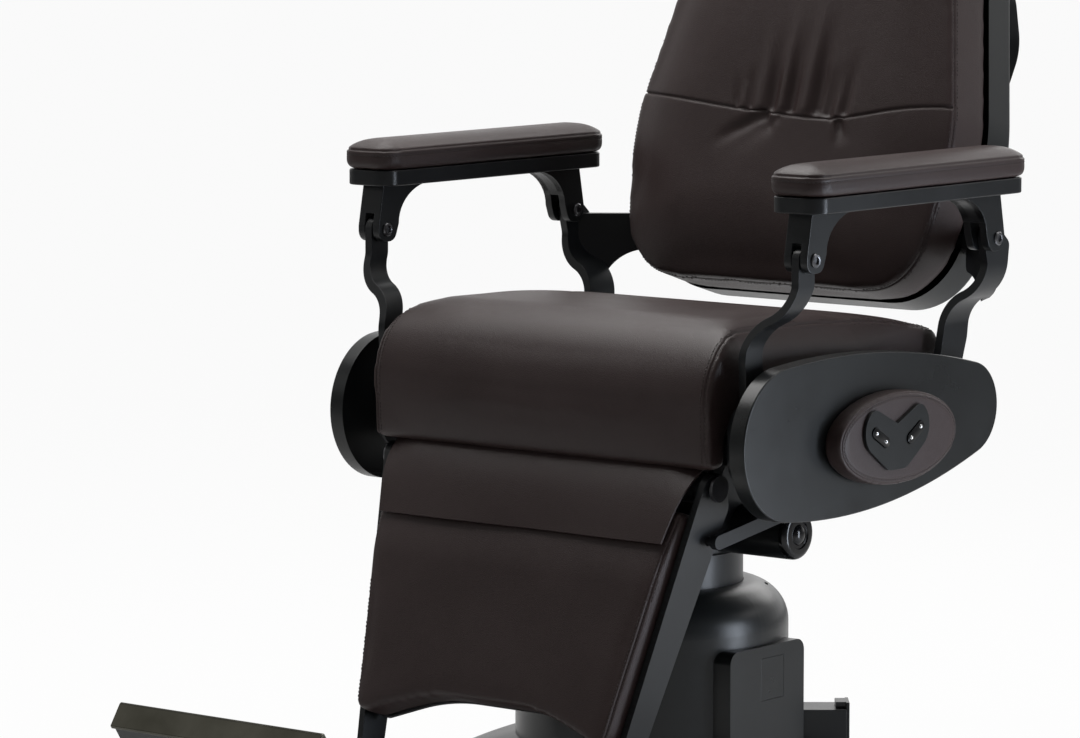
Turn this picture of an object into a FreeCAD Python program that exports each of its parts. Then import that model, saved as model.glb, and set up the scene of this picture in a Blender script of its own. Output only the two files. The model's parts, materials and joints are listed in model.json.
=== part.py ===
"""Electric barber chair: lifting and swivelling column, seat, reclining back with parallel
armrests, linked legrest with a folding footrest, and a sliding, tilting headrest.

Millimetres. The origin is on the floor under the swivel axis, +Z is up, +X is the sitter's
left and the chair faces -Y.
"""
import FreeCAD, Part
import math
import os

V = FreeCAD.Vector

# Clearances
fit_gap = 0.1
running_gap = 0.05
open_pivot_gap = 0.5
swing_gap = 1.0
soft_gap = 0.5

# Length by which a cutting solid runs past what it cuts, and one that counts as none
spare = 10.0
tiny = 0.001

# Share of a straight side that its two corner arcs may take
corner_share = 0.999

# Base
base_pad_height = 5.0
base_radius = 330.0
base_thickness = 10.0
dome_rise = 84.0
dome_crown = 7.0
dome_wall = 4.0
dome_inset = 6.0

# Column cover and sleeve
cover_radius = 159.0
cover_height = 280.0
cover_wall = 4.0
cover_lip = 4.0
vent_length = 12.0
vent_width = 4.0
vent_count = 4
vent_angle = 36.0
sleeve_radius = 106.0
sleeve_wall = 4.0
sleeve_overlap = 22.0
sleeve_gap = 0.8
lift_travel = 160.0

# Lift cylinder and swivel
ram_radius = 45.0
ram_foot_gap = 2.0
cylinder_wall = 13.0
cylinder_floor = 7.0
cylinder_neck = 5.0
cylinder_flange_radius = 92.0
cylinder_flange_thickness = 12.0
bolt_radius = 6.0
bolt_head_radius = 10.0
bolt_head_height = 8.0
cylinder_bolt_circle = 78.0
cylinder_bolt_count = 6
housing_radius = 62.0
housing_height = 78.0
housing_floor = 10.0
housing_flange = 8.0
washer_thickness = 3.0
washer_inset = 6.0
spindle_radius = 40.0
spindle_foot_gap = 2.0

# Control box and power inlet
box_front = 165.0
box_back = 112.0
box_width = 146.0
box_height = 202.0
box_wall = 3.0
box_round = 14.0
box_turn = 1.5
hatch_width = 45.0
hatch_height = 49.0
hatch_drop = 14.0
hatch_side = 10.0
hatch_round = 1.0
motor_radius = 21.0
motor_height = 130.0
inlet_reach = 226.0
inlet_width = 52.0
inlet_height = 114.0
inlet_wall = 3.0
inlet_turn = 39.0
socket_width = 28.0
socket_height = 36.0
socket_depth = 20.0
socket_flange = 4.0
socket_hood = 7.0
socket_contact = 4.0
socket_contact_half = 1.0
socket_contact_height = 6.0

# Cross tube and seat frame
tube_z = 350.0
tube_radius = 29.0
tube_wall = 5.0
tube_half = 204.0
cap_depth = 9.0
cap_round = 7.0
cap_spigot = 12.0
cap_overlap = 1.0
cap_button_radius = 8.0
cap_button_height = 3.0
head_flange = 14.0
head_half_x = 90.0
head_half_y = 40.0
head_rise = 8.0
beam_z = 446.0
beam_height = 36.0
beam_width = 40.0
beam_wall = 3.0
front_beam_y = -130.0
rear_beam_y = 120.0
hip_gap = 3.6
rail_x = 125.0
rail_width = 30.0
saddle_thickness = 18.0
saddle_top = 60.0
saddle_foot = 42.0
saddle_drop = 15.0
board_thickness = 15.0
board_inset = 7.0
board_corner = 30.0
board_front = -175.0
board_rear = 170.0
seat_bolt_radius = 4.0
seat_bolt_head_radius = 7.0
seat_bolt_head = 6.0
seat_bolt_x = 190.0

# Seat cushion
cushion_half = 247.0
cushion_front = -220.0
cushion_rear = 236.0
cushion_top = 606.0
cushion_lip = 445.0
cushion_rear_drop = 36.0
cushion_front_round = 88.0
cushion_side_round = 42.0
cushion_lip_depth = 40.0
cushion_lip_set = 6.0
cushion_lip_round = 14.0
cushion_apron_round = 6.0
cushion_heel_round = 26.0
cushion_sole_round = 12.0
cushion_crest_shift = 60.0
cushion_crest_round = 240.0
cushion_crest_room = 1.0

# Recline pivots, legs and hip plates
recline_y = 205.0
recline_z = 485.0
leg_reach_y = 21.0
leg_reach_z = 194.0
arm_pivot_spacing = 355.0
leg_offset = 47.9
leg_thickness = 10.0
leg_width = 30.0
leg_bend_z = 574.0
leg_bend_height = 75.0
leg_foot_radius = 21.0
leg_bow = 12.0
back_leg_bow = -16.0
back_leg_heel = 41.0
back_leg_taper = 15.0
back_leg_neck = 12.0
leg_neck_round = 20.0
leg_knee_round = 40.0
leg_ankle_round = 10.0
shaft_radius = 12.0
hip_thickness = 6.0
hip_front = -188.0
hip_rear = 236.0
hip_bottom = 428.0
hip_top = 518.0
hip_corner = 30.0
hip_heel_corner = 24.0
pin_radius = 9.0
pin_head_radius = 15.0
pin_head = 4.0
gusset_start_y = 246.0
gusset_thickness = 12.0
gusset_top = 673.0
gusset_foot = 565.0
gusset_end_height = 44.0
gusset_arc = 60.0
gusset_round = 8.0
gusset_foot_round = 4.0
gusset_arch_share = 0.45
gusset_foot_share = 0.25
lug_room = 9.0
lug_radius = 17.0
lug_thickness = 14.0

# Side covers, pads and keypads
shield_room = 12.9
shield_depth = 21.0
shield_wall = 4.0
shield_front_y = -224.0
shield_front_z = 474.0
shield_front_radius = 86.0
shield_rear_y = 266.0
shield_rear_z = 482.0
shield_rear_radius = 54.0
shield_bulge = 15.5
shield_front_sweep = 85.0
shield_rear_rise = 76.0
shield_rear_fall = 72.0
standoff_radius = 8.0
standoff_y = 80.0
standoff_low_z = 438.0
standoff_high_z = 522.0
pad_y = 61.0
pad_z = 468.0
pad_half_length = 131.0
pad_half_height = 54.0
pad_draft = 17.0
pad_depth = 25.0
key_y = 24.0
key_z = 468.0
key_half_width = 67.0
key_lobe = 43.0
key_rise = 38.0
key_notch = 17.0
key_drop = 40.0
key_foot = 17.0
key_tip_rise = 7.6
key_tip_round = 12.0
key_lobe_round = 16.0
key_notch_round = 3.0
key_thickness = 5.0
rocker_spread = 33.5
rocker_rise = 4.0
rocker_length = 35.0
rocker_width = 12.0
rocker_height = 4.6
rocker_floor = 2.0
rocker_slant = 31.0
rocker_gap = 0.5

# Armrests
arm_front = -154.0
arm_length = 418.0
arm_width = 76.0
arm_corner = 20.0
arm_rise = 52.0
arm_plate = 18.0
arm_pad = 35.0
arm_pad_round = 15.75
arm_pad_edge = 4.0
lobe_radius = 15.0
lobe_thickness = 10.0
lobe_arc = 46.0
lobe_toe = 15.0
bolt_cap_radius = 8.0
bolt_cap = 3.0

# Back
back_tilt = 16.0
back_foot_y = 213.0
back_foot_z = 606.0
back_height = 531.0
back_foot_half = 209.0
back_waist_half = 238.0
back_waist = 180.0
back_head_half = 169.0
back_foot_round = 90.0
back_waist_round = 300.0
back_head_round = 120.0
back_pad = 70.0
back_crown = 24.0
back_crown_share = 0.8
shell_depth = 46.0
shell_share = 0.985
shell_round_share = 0.95
shell_edge = 14.0
shell_wall = 4.0
upright_x = 115.0
upright_width = 30.0
upright_depth = 20.0
upright_foot = 30.0
upright_head = 500.0
back_tube_radius = 9.0
back_tube_v = 82.0
handle_foot = 245.0
handle_height = 165.0
handle_depth = 58.0
handle_half = 190.0
handle_knee_depth = 43.5
handle_knee_height = 33.0
handle_knee_round = 50.0
handle_peak_height = 90.75
handle_peak_round = 60.0
handle_brow_depth = 29.0
handle_brow_drop = 16.5
handle_brow_round = 40.0

# Cranks, links and actuator
link_crank = 60.0
link_inset = 15.6
link_thickness = 8.0
link_width = 16.0
crank_thickness = 8.0
link_pin_radius = 5.0
actuator_crank = 70.0
actuator_pin_radius = 6.0
actuator_tube_radius = 18.0
actuator_front = -110.0
actuator_rear = 130.0
actuator_wall = 5.0
rod_radius = 11.0
rod_front = 20.0
yoke_half = 11.0
yoke_depth = 32.0
yoke_wall = 8.0
yoke_play = 3.0
yoke_rise = 16.0
gearbox_size = 56.0
gearbox_length = 60.0

# Headrest
post_radius = 8.0
post_x = 55.0
post_foot = 330.0
post_top = 621.0
head_bar_half = 92.0
head_block_radius = 15.0
head_block_half = 38.0
head_plate = 6.0
head_plate_half = 105.0
head_plate_foot = 573.0
head_plate_height = 124.0
head_plate_round = 25.0
head_pad_half = 132.0
head_pad_foot = 565.0
head_pad_height = 140.0
head_pad_depth = 50.0
head_pad_round = 34.0
head_pad_edge = 4.0

# Legrest and footrest
hinge_y = -185.0
hinge_z = 425.0
hinge_radius = 14.0
hinge_plate = 8.0
bracket_step = 6.0
bracket_lift = 2.0
bracket_round = 4.0
bar_inset = 22.3
bar_thickness = 8.0
bar_taper = 8.2
bar_hub_radius = 16.0
bar_shoulder_z = 400.0
bar_front_top = -215.0
bar_rear_top = -155.0
bar_front_foot = -318.0
bar_rear_foot = -280.0
bar_foot_z = 77.0
arm_tube_height = 26.0
bar_elbow = 14.0
bar_round = 12.0
bar_heel_round = 30.0
legrest_tilt = 18.5
legrest_top_y = -221.0
legrest_top_z = 402.0
legrest_height = 277.0
legrest_pad_depth = 28.0
legrest_board = 6.0
legrest_arch = 36.0
legrest_corner = 16.0
legrest_edge = 4.0
legrest_arch_round = 240.0
legrest_arch_share = 0.45
legrest_side_gap = 2.0
flap_top_y = -199.0
flap_gap = 0.3
flap_bottom_y = -243.0
flap_bottom_z = 368.0
flap_thickness = 3.0
flap_inset = 22.0
flap_taper = 14.0
flap_corner = 6.0
foot_pivot_y = -668.0
foot_pivot_z = 90.0
foot_half = 145.0
foot_lean = 33.0
foot_length = 138.0
foot_thickness = 24.0
foot_skin = 4.0
foot_shaft_radius = 8.0
foot_hub_radius = 16.0
foot_strip = 21.0
foot_edge = 4.0
foot_strip_edge = 1.0
foot_strip_round = 2.0

# Levels and places that follow from the sizes above
base_top = base_pad_height + base_thickness
head_bottom = tube_z - tube_radius
housing_top = head_bottom - washer_thickness
housing_bottom = housing_top - housing_height
sleeve_top = housing_top - housing_flange
sleeve_bottom = cover_height - lift_travel - sleeve_overlap
cover_mouth = sleeve_radius + sleeve_gap
beam_top = beam_z + beam_height
board_top = beam_top + board_thickness
cushion_floor = board_top + soft_gap
frame_half = cushion_half + hip_gap
board_half = cushion_half - board_inset
flap_half_top = cushion_half - flap_inset
flap_half_bottom = flap_half_top - flap_taper
hip_outer = frame_half + hip_thickness
leg_foot_x = hip_outer + soft_gap + leg_thickness / 2
arm_x = leg_foot_x + leg_offset
shield_inner = leg_foot_x + leg_thickness / 2 + shield_room
shield_outer = shield_inner + shield_depth
link_x = frame_half - link_inset
bar_x = frame_half - bar_inset
front_pivot_y = recline_y - arm_pivot_spacing
arm_pivot_y = recline_y + leg_reach_y
arm_pivot_z = recline_z + leg_reach_z
front_arm_pivot_y = front_pivot_y + leg_reach_y
arm_bottom = arm_pivot_z + arm_rise
arm_seat = arm_bottom + arm_plate
pad_face = shield_outer + pad_depth
taper_slope = math.tan(math.radians(bar_taper))
shell_front = back_pad + soft_gap
shell_rear = shell_front + shell_depth
frame_depth = shell_front + fit_gap + upright_depth / 2
actuator_z = recline_z - actuator_crank
back_half_at_tube = back_foot_half + (back_waist_half - back_foot_half) * back_tube_v / back_waist
lug_x = shell_share * back_half_at_tube + lug_room


def rounded(corners, place):
    """Closed wire through (a, b, radius) corners; place turns (a, b) into a point."""
    count = len(corners)
    points = [V(a, b, 0) for a, b, radius in corners]
    sides = [points[(i + 1) % count] - points[i] for i in range(count)]
    halves = []
    reaches = []
    for i, corner in enumerate(corners):
        half = (sides[i - 1] * -1).getAngle(sides[i]) / 2
        halves.append(half)
        reaches.append(corner[2] / math.tan(half))
    for i in range(count):
        total = reaches[i] + reaches[(i + 1) % count]
        if total > corner_share * sides[i].Length:
            share = corner_share * sides[i].Length / total
            reaches[i] *= share
            reaches[(i + 1) % count] *= share
    edges = []
    for i in range(count):
        back = (sides[i - 1] * -1).normalize()
        ahead = V(sides[i]).normalize()
        start = points[i] + back * reaches[i]
        end = points[i] + ahead * reaches[i]
        if reaches[i] > tiny:
            radius = reaches[i] * math.tan(halves[i])
            inward = (back + ahead).normalize()
            middle = points[i] + inward * (radius / math.sin(halves[i]) - radius)
            arc = [place(p.x, p.y) for p in (start, middle, end)]
            edges.append(Part.Arc(*arc).toShape())
        following = (i + 1) % count
        target = points[following] - ahead * reaches[following]
        if (target - end).Length > tiny:
            edges.append(Part.makeLine(place(end.x, end.y), place(target.x, target.y)))
    return Part.Wire(edges)


def plate_x(corners, low, high):
    """Plate with a (y, z) outline, from x = low to x = high."""
    wire = rounded(corners, lambda a, b: V(low, a, b))
    return Part.Face(wire).extrude(V(high - low, 0, 0))


def plate_y(corners, low, high):
    """Plate with an (x, z) outline, from y = low to y = high."""
    wire = rounded(corners, lambda a, b: V(a, low, b))
    return Part.Face(wire).extrude(V(0, high - low, 0))


def plate_z(corners, low, high):
    """Plate with an (x, y) outline, from z = low to z = high."""
    wire = rounded(corners, lambda a, b: V(a, b, low))
    return Part.Face(wire).extrude(V(0, 0, high - low))


def block(x, y, z):
    """Box between the (low, high) pairs given for x, y and z."""
    return Part.makeBox(x[1] - x[0], y[1] - y[0], z[1] - z[0], V(x[0], y[0], z[0]))


def upright_rod(radius, low, high, x=0.0, y=0.0):
    """Cylinder along Z."""
    return Part.makeCylinder(radius, high - low, V(x, y, low))


def cross_rod(radius, low, high, y, z):
    """Cylinder along X."""
    return Part.makeCylinder(radius, high - low, V(low, y, z), V(1, 0, 0))


def turned(corners):
    """Solid of revolution about Z from an (r, z, radius) outline."""
    wire = rounded(corners, lambda a, b: V(a, 0, b))
    return Part.Face(wire).revolve(V(0, 0, 0), V(0, 0, 1), 360)


def mirrored(shape):
    """The same piece on the sitter's right."""
    return shape.mirror(V(0, 0, 0), V(1, 0, 0))


def pair(shape):
    """A left piece and its right twin as two solids."""
    return Part.makeCompound([shape, mirrored(shape)])


def spun(shape, angle):
    """The shape turned about the swivel axis."""
    turned_shape = shape.copy()
    turned_shape.rotate(V(0, 0, 0), V(0, 0, 1), angle)
    return turned_shape


def leaned(shape, tilt, y, z):
    """An upright shape leaned back by tilt and set with its foot at (y, z)."""
    placed = shape.copy()
    placed.rotate(V(0, 0, 0), V(1, 0, 0), -tilt)
    placed.translate(V(0, y, z))
    return placed


def on_back(shape):
    """A shape of the back, drawn with x across, y as depth and z up the back."""
    return leaned(shape, back_tilt, back_foot_y, back_foot_z)


def on_legrest(shape):
    """A shape of the legrest, drawn with its top front edge at the origin."""
    return leaned(shape, legrest_tilt, legrest_top_y, legrest_top_z)


# Base
def base_pad():
    return upright_rod(base_radius - dome_inset, 0, base_pad_height)


def base_bolt_places():
    for i in range(cylinder_bolt_count):
        angle = 2 * math.pi * i / cylinder_bolt_count
        yield cylinder_bolt_circle * math.cos(angle), cylinder_bolt_circle * math.sin(angle)


def base_plate():
    plate = upright_rod(base_radius, base_pad_height, base_top)
    plate = plate.makeFillet(base_thickness / 3, [plate.Edges[0]])
    for x, y in base_bolt_places():
        plate = plate.cut(upright_rod(bolt_radius + fit_gap, 0, base_top, x, y))
    return plate


def dome_profile(drop):
    """Outline of the dome's skin in (r, z), lowered by drop, as three points."""
    rim = base_radius - dome_inset - drop
    throat = cover_radius + fit_gap
    top = base_top + dome_rise - drop
    middle = V((rim + throat) / 2 + dome_crown, 0, (base_top + top) / 2 + dome_crown)
    return V(rim, 0, base_top), middle, V(throat, 0, top)


def control_box_body(grow):
    """The control box as one block, larger by grow on its sides, top and ends."""
    half = box_width / 2 + grow
    top = base_top + box_height + grow
    corners = [(-half, base_top, 0), (half, base_top, 0), (half, top, box_round), (-half, top, box_round)]
    return spun(plate_x(corners, box_back - grow, box_front + grow), box_turn)


def inlet_body(grow):
    """The power inlet housing as one block, larger by grow on its sides and top."""
    half = inlet_width / 2 + grow
    sides = (cover_radius - cover_wall, inlet_reach + grow)
    shape = block(sides, (-half, half), (base_top, base_top + inlet_height + grow))
    return spun(shape, inlet_turn)


def base_dome():
    rim, middle, top = dome_profile(0)
    low_rim, low_middle, low_top = dome_profile(dome_wall)
    edges = [
        Part.Arc(rim, middle, top).toShape(),
        Part.makeLine(top, low_top),
        Part.Arc(low_top, low_middle, low_rim).toShape(),
        Part.makeLine(low_rim, rim),
    ]
    dome = Part.Face(Part.Wire(edges)).revolve(V(0, 0, 0), V(0, 0, 1), 360)
    return dome.cut(control_box_body(fit_gap)).cut(inlet_body(fit_gap))


def column_cover():
    shoulder = cover_radius - cover_mouth - cover_lip
    inner = cover_radius - cover_wall
    corners = [
        (inner, base_top, 0),
        (cover_radius, base_top, 0),
        (cover_radius, cover_height, shoulder),
        (cover_mouth, cover_height, 0),
        (cover_mouth, cover_height - cover_wall, 0),
        (inner, cover_height - cover_wall, shoulder - cover_wall),
    ]
    cover = turned(corners)
    reach = (cover_mouth + cover_radius) / 2
    half = vent_length / 2
    slot = [
        (reach - vent_width / 2, -half, vent_width / 2),
        (reach + vent_width / 2, -half, vent_width / 2),
        (reach + vent_width / 2, half, vent_width / 2),
        (reach - vent_width / 2, half, vent_width / 2),
    ]
    vent = plate_z(slot, cover_height - shoulder, cover_height)
    for i in range(vent_count):
        cover = cover.cut(spun(vent, vent_angle + 360.0 * i / vent_count))
    return cover.cut(control_box_body(fit_gap)).cut(inlet_body(fit_gap))


def lift_cylinder():
    outer = ram_radius + running_gap + cylinder_wall
    top = housing_bottom - cylinder_neck
    body = upright_rod(outer, base_top, top)
    body = body.fuse(upright_rod(cylinder_flange_radius, base_top, base_top + cylinder_flange_thickness))
    body = body.cut(upright_rod(ram_radius + running_gap, base_top + cylinder_floor, top))
    for x, y in base_bolt_places():
        body = body.cut(upright_rod(bolt_radius + fit_gap, 0, base_top + cylinder_flange_thickness, x, y))
    return body


def cylinder_bolts():
    seat = base_top + cylinder_flange_thickness
    bolts = []
    for x, y in base_bolt_places():
        corner = V(bolt_head_radius, 0, 0)
        turns = [FreeCAD.Rotation(V(0, 0, 1), 60 * k) for k in range(7)]
        hexagon = Part.makePolygon([V(x, y, seat) + turn.multVec(corner) for turn in turns])
        head = Part.Face(hexagon).extrude(V(0, 0, bolt_head_height))
        bolts.append(head.fuse(upright_rod(bolt_radius, base_pad_height, seat, x, y)))
    return Part.makeCompound(bolts)


def hatch_corners(grow):
    """Hatch outline in the box's own (y, z), larger by grow."""
    left = -hatch_width / 2 + hatch_side - grow
    top = base_top + box_height - hatch_drop + grow
    right = left + hatch_width + 2 * grow
    bottom = top - hatch_height - 2 * grow
    corners = ((left, bottom), (right, bottom), (right, top), (left, top))
    return [(y, z, hatch_round) for y, z in corners]


def control_box():
    half = box_width / 2 - box_wall
    top = base_top + box_height - box_wall
    corners = [(-half, base_top, 0), (half, base_top, 0), (half, top, box_round), (-half, top, box_round)]
    hollow = plate_x(corners, box_back + box_wall, box_front - box_wall)
    opening = plate_x(hatch_corners(fit_gap), box_front - box_wall, box_front)
    return control_box_body(0).cut(spun(hollow, box_turn)).cut(spun(opening, box_turn))


def control_box_hatch():
    return spun(plate_x(hatch_corners(0), box_front - box_wall, box_front), box_turn)


def pump_motor():
    middle = (box_back + box_front) / 2
    shoulder = base_top + motor_height
    body = upright_rod(motor_radius, base_top, shoulder, middle)
    neck = upright_rod(motor_radius / 2, shoulder, shoulder + motor_radius, middle)
    return spun(body.fuse(neck), box_turn)


def inlet_box():
    half = inlet_width / 2 - inlet_wall
    hollow = block(
        (0, inlet_reach - inlet_wall), (-half, half), (base_top, base_top + inlet_height - inlet_wall)
    )
    middle = base_top + inlet_height - inlet_wall - socket_height / 2 - socket_hood
    window = block(
        (inlet_reach - inlet_wall, inlet_reach),
        (-socket_width / 2 - fit_gap, socket_width / 2 + fit_gap),
        (middle - socket_height / 2 - fit_gap, middle + socket_height / 2 + fit_gap),
    )
    shape = spun(inlet_body(0), -inlet_turn)
    shape = shape.cut(hollow).cut(window)
    shape = shape.cut(upright_rod(cover_radius + fit_gap, 0, cover_height))
    return spun(shape, inlet_turn).cut(control_box_body(fit_gap))


def inlet_socket():
    middle = base_top + inlet_height - inlet_wall - socket_height / 2 - socket_hood
    low = middle - socket_height / 2
    high = middle + socket_height / 2
    half = socket_width / 2
    body = block((inlet_reach - socket_depth, inlet_reach), (-half, half), (low, high))
    top = base_top + inlet_height + socket_hood
    flange = block(
        (inlet_reach, inlet_reach + socket_flange),
        (-half - socket_flange, half + socket_flange),
        (low - socket_flange, top),
    )
    hood = block(
        (inlet_reach - socket_flange * 3, inlet_reach + socket_flange),
        (-half, half),
        (base_top + inlet_height, top),
    )
    cavity = block(
        (inlet_reach - socket_depth + inlet_wall, inlet_reach + socket_flange),
        (-half + inlet_wall, half - inlet_wall),
        (low + inlet_wall, high - inlet_wall),
    )
    floor = inlet_reach - socket_depth + inlet_wall
    contacts = [
        block(
            (floor, floor + socket_contact),
            (y - socket_contact_half, y + socket_contact_half),
            (z - socket_contact_height / 2, z + socket_contact_height / 2),
        )
        for y, z in ((-half / 3, middle - half / 2), (half / 3, middle), (-half / 3, middle + half / 2))
    ]
    shape = body.fuse(flange).fuse(hood).cut(cavity)
    for contact in contacts:
        shape = shape.fuse(contact)
    return spun(shape, inlet_turn)


# Lift
def lift_ram():
    return upright_rod(ram_radius, base_top + cylinder_floor + ram_foot_gap, housing_bottom)


def lift_sleeve():
    outer = upright_rod(sleeve_radius, sleeve_bottom, sleeve_top)
    return outer.cut(upright_rod(sleeve_radius - sleeve_wall, sleeve_bottom, sleeve_top))


def swivel_housing():
    body = upright_rod(housing_radius, housing_bottom, housing_top)
    body = body.fuse(upright_rod(sleeve_radius, sleeve_top, housing_top))
    return body.cut(upright_rod(spindle_radius + running_gap, housing_bottom + housing_floor, housing_top))


def swivel_washer():
    outer = upright_rod(sleeve_radius - washer_inset, housing_top, head_bottom)
    return outer.cut(upright_rod(spindle_radius + swing_gap, housing_top, head_bottom))


# Seat frame
def tube_space():
    return cross_rod(tube_radius + fit_gap, -tube_half, tube_half, 0, tube_z)


def swivel_head():
    flange_top = head_bottom + head_flange
    foot = housing_bottom + housing_floor + spindle_foot_gap
    body = upright_rod(sleeve_radius, head_bottom, flange_top)
    body = body.fuse(upright_rod(spindle_radius, foot, flange_top))
    trough = block(
        (-head_half_x, head_half_x), (-head_half_y, head_half_y), (head_bottom, tube_z + head_rise)
    )
    return body.fuse(trough).cut(tube_space())


def cross_tube():
    outer = cross_rod(tube_radius, -tube_half, tube_half, 0, tube_z)
    return outer.cut(cross_rod(tube_radius - tube_wall, -tube_half, tube_half, 0, tube_z))


def cross_tube_caps():
    end = tube_half + cap_depth
    disc = cross_rod(tube_radius, tube_half, end, 0, tube_z)
    rim = [edge for edge in disc.Edges if abs(edge.BoundBox.XMin - end) < fit_gap]
    disc = disc.makeFillet(cap_round, rim)
    button = cross_rod(cap_button_radius, end - cap_round, end + cap_button_height, 0, tube_z)
    spigot_radius = tube_radius - tube_wall - fit_gap
    spigot = cross_rod(spigot_radius, tube_half - cap_spigot, tube_half + cap_overlap, 0, tube_z)
    return pair(disc.fuse(button).fuse(spigot))


def beam(y):
    ends = (-frame_half, frame_half)
    outer = block(ends, (y - beam_width / 2, y + beam_width / 2), (beam_z, beam_top))
    inner = block(
        ends,
        (y - beam_width / 2 + beam_wall, y + beam_width / 2 - beam_wall),
        (beam_z + beam_wall, beam_top - beam_wall),
    )
    tube = outer.cut(inner)
    for x in (-seat_bolt_x, seat_bolt_x):
        tube = tube.cut(upright_rod(seat_bolt_radius + fit_gap, beam_z, beam_top, x, y))
    return tube


def seat_frame():
    front = front_beam_y + beam_width / 2
    rear = rear_beam_y - beam_width / 2
    rail = block((rail_x - rail_width / 2, rail_x + rail_width / 2), (front, rear), (beam_z, beam_top))
    hollow = block(
        (rail_x - rail_width / 2 + beam_wall, rail_x + rail_width / 2 - beam_wall),
        (front, rear),
        (beam_z + beam_wall, beam_top - beam_wall),
    )
    rail = rail.cut(hollow)
    return Part.makeCompound([beam(front_beam_y), beam(rear_beam_y), rail, mirrored(rail)])


def tube_saddles():
    corners = [
        (-saddle_top, beam_z, 0),
        (-saddle_foot, tube_z - saddle_drop, saddle_drop),
        (saddle_foot, tube_z - saddle_drop, saddle_drop),
        (saddle_top, beam_z, 0),
    ]
    half = saddle_thickness / 2
    return pair(plate_x(corners, rail_x - half, rail_x + half).cut(tube_space()))


def seat_board():
    corners = [
        (-board_half, board_front, board_corner),
        (board_half, board_front, board_corner),
        (board_half, board_rear, board_corner),
        (-board_half, board_rear, board_corner),
    ]
    board = plate_z(corners, beam_top, board_top)
    for x in (-seat_bolt_x, seat_bolt_x):
        for y in (front_beam_y, rear_beam_y):
            board = board.cut(upright_rod(seat_bolt_radius + fit_gap, beam_top, board_top, x, y))
    return board


def seat_bolts():
    bolts = []
    for x in (-seat_bolt_x, seat_bolt_x):
        for y in (front_beam_y, rear_beam_y):
            head = upright_rod(seat_bolt_head_radius, beam_z - seat_bolt_head, beam_z, x, y)
            bolts.append(head.fuse(upright_rod(seat_bolt_radius, beam_z, board_top, x, y)))
    return Part.makeCompound(bolts)


def seat_cushion():
    apron = cushion_front + cushion_lip_depth
    crest = (cushion_front + cushion_rear) / 2 + cushion_crest_shift
    top = cushion_top + cushion_crest_room
    corners = [
        (cushion_rear, cushion_floor, cushion_sole_round),
        (cushion_rear, cushion_top - cushion_rear_drop, cushion_heel_round),
        (crest, cushion_top, cushion_crest_round),
        (cushion_front, cushion_top, cushion_front_round),
        (cushion_front + cushion_lip_set, cushion_lip, cushion_lip_round),
        (apron, cushion_lip, cushion_apron_round),
        (apron, cushion_floor, 0),
    ]
    section = plate_x(corners, -cushion_half - spare, cushion_half + spare)
    front_view = [
        (-cushion_half, cushion_lip - spare, 0),
        (cushion_half, cushion_lip - spare, 0),
        (cushion_half, top, cushion_side_round),
        (-cushion_half, top, cushion_side_round),
    ]
    return section.common(plate_y(front_view, cushion_front - spare, cushion_rear + spare))


def standoff_places():
    for z in (standoff_low_z, standoff_high_z):
        yield -standoff_y + key_y, z
        yield standoff_y + key_y, z


def hip_plates():
    corners = [
        (hip_front, hip_bottom, hip_corner),
        (hip_rear, hip_bottom, hip_corner),
        (hip_rear, hip_top, hip_heel_corner),
        (hip_front, hip_top, hip_corner),
    ]
    plate = plate_x(corners, frame_half, hip_outer)
    plate = plate.cut(cross_rod(shaft_radius + running_gap, frame_half, hip_outer, recline_y, recline_z))
    plate = plate.cut(cross_rod(pin_radius + fit_gap, frame_half, hip_outer, front_pivot_y, recline_z))
    for y, z in standoff_places():
        plate = plate.fuse(cross_rod(standoff_radius, frame_half, shield_outer - shield_wall, y, z))
    return pair(plate)


def shield_wire(inset, x):
    """Teardrop outline of a side cover, drawn in by inset, at x."""
    front = V(x, shield_front_y + shield_front_radius, shield_front_z)
    rear = V(x, shield_rear_y - shield_rear_radius, shield_rear_z)

    def on_circle(centre, radius, degrees):
        angle = math.radians(degrees)
        return centre + V(0, math.cos(angle), math.sin(angle)) * (radius - inset)

    def bowed(start, end, outward):
        middle = (start + end) * 0.5
        return Part.Arc(start, middle + V(0, 0, outward * shield_bulge), end).toShape()

    front_top = on_circle(front, shield_front_radius, 180 - shield_front_sweep)
    front_nose = on_circle(front, shield_front_radius, 180)
    front_low = on_circle(front, shield_front_radius, 180 + shield_front_sweep)
    rear_top = on_circle(rear, shield_rear_radius, shield_rear_rise)
    tail_angle = (shield_rear_rise - shield_rear_fall) / 2
    rear_tail = on_circle(rear, shield_rear_radius, tail_angle)
    rear_low = on_circle(rear, shield_rear_radius, -shield_rear_fall)
    return Part.Wire(
        [
            Part.Arc(front_top, front_nose, front_low).toShape(),
            bowed(front_low, rear_low, -1),
            Part.Arc(rear_low, rear_tail, rear_top).toShape(),
            bowed(rear_top, front_top, 1),
        ]
    )


def side_covers():
    outer = Part.Face(shield_wire(0, shield_inner)).extrude(V(shield_outer - shield_inner, 0, 0))
    depth = shield_outer - shield_wall - shield_inner
    hollow = Part.Face(shield_wire(shield_wall, shield_inner)).extrude(V(depth, 0, 0))
    return pair(outer.cut(hollow))


def oval(x, inset):
    """Elliptical outline of a side pad at x, drawn in by inset."""
    centre = V(x, pad_y, pad_z)
    long_end = centre + V(0, pad_half_length - inset, 0)
    short_end = centre + V(0, 0, pad_half_height - inset * pad_half_height / pad_half_length)
    return Part.Wire([Part.Ellipse(long_end, short_end, centre).toShape()])


def side_pads():
    return pair(Part.makeLoft([oval(shield_outer, 0), oval(pad_face, pad_draft)], True, True))


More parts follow.
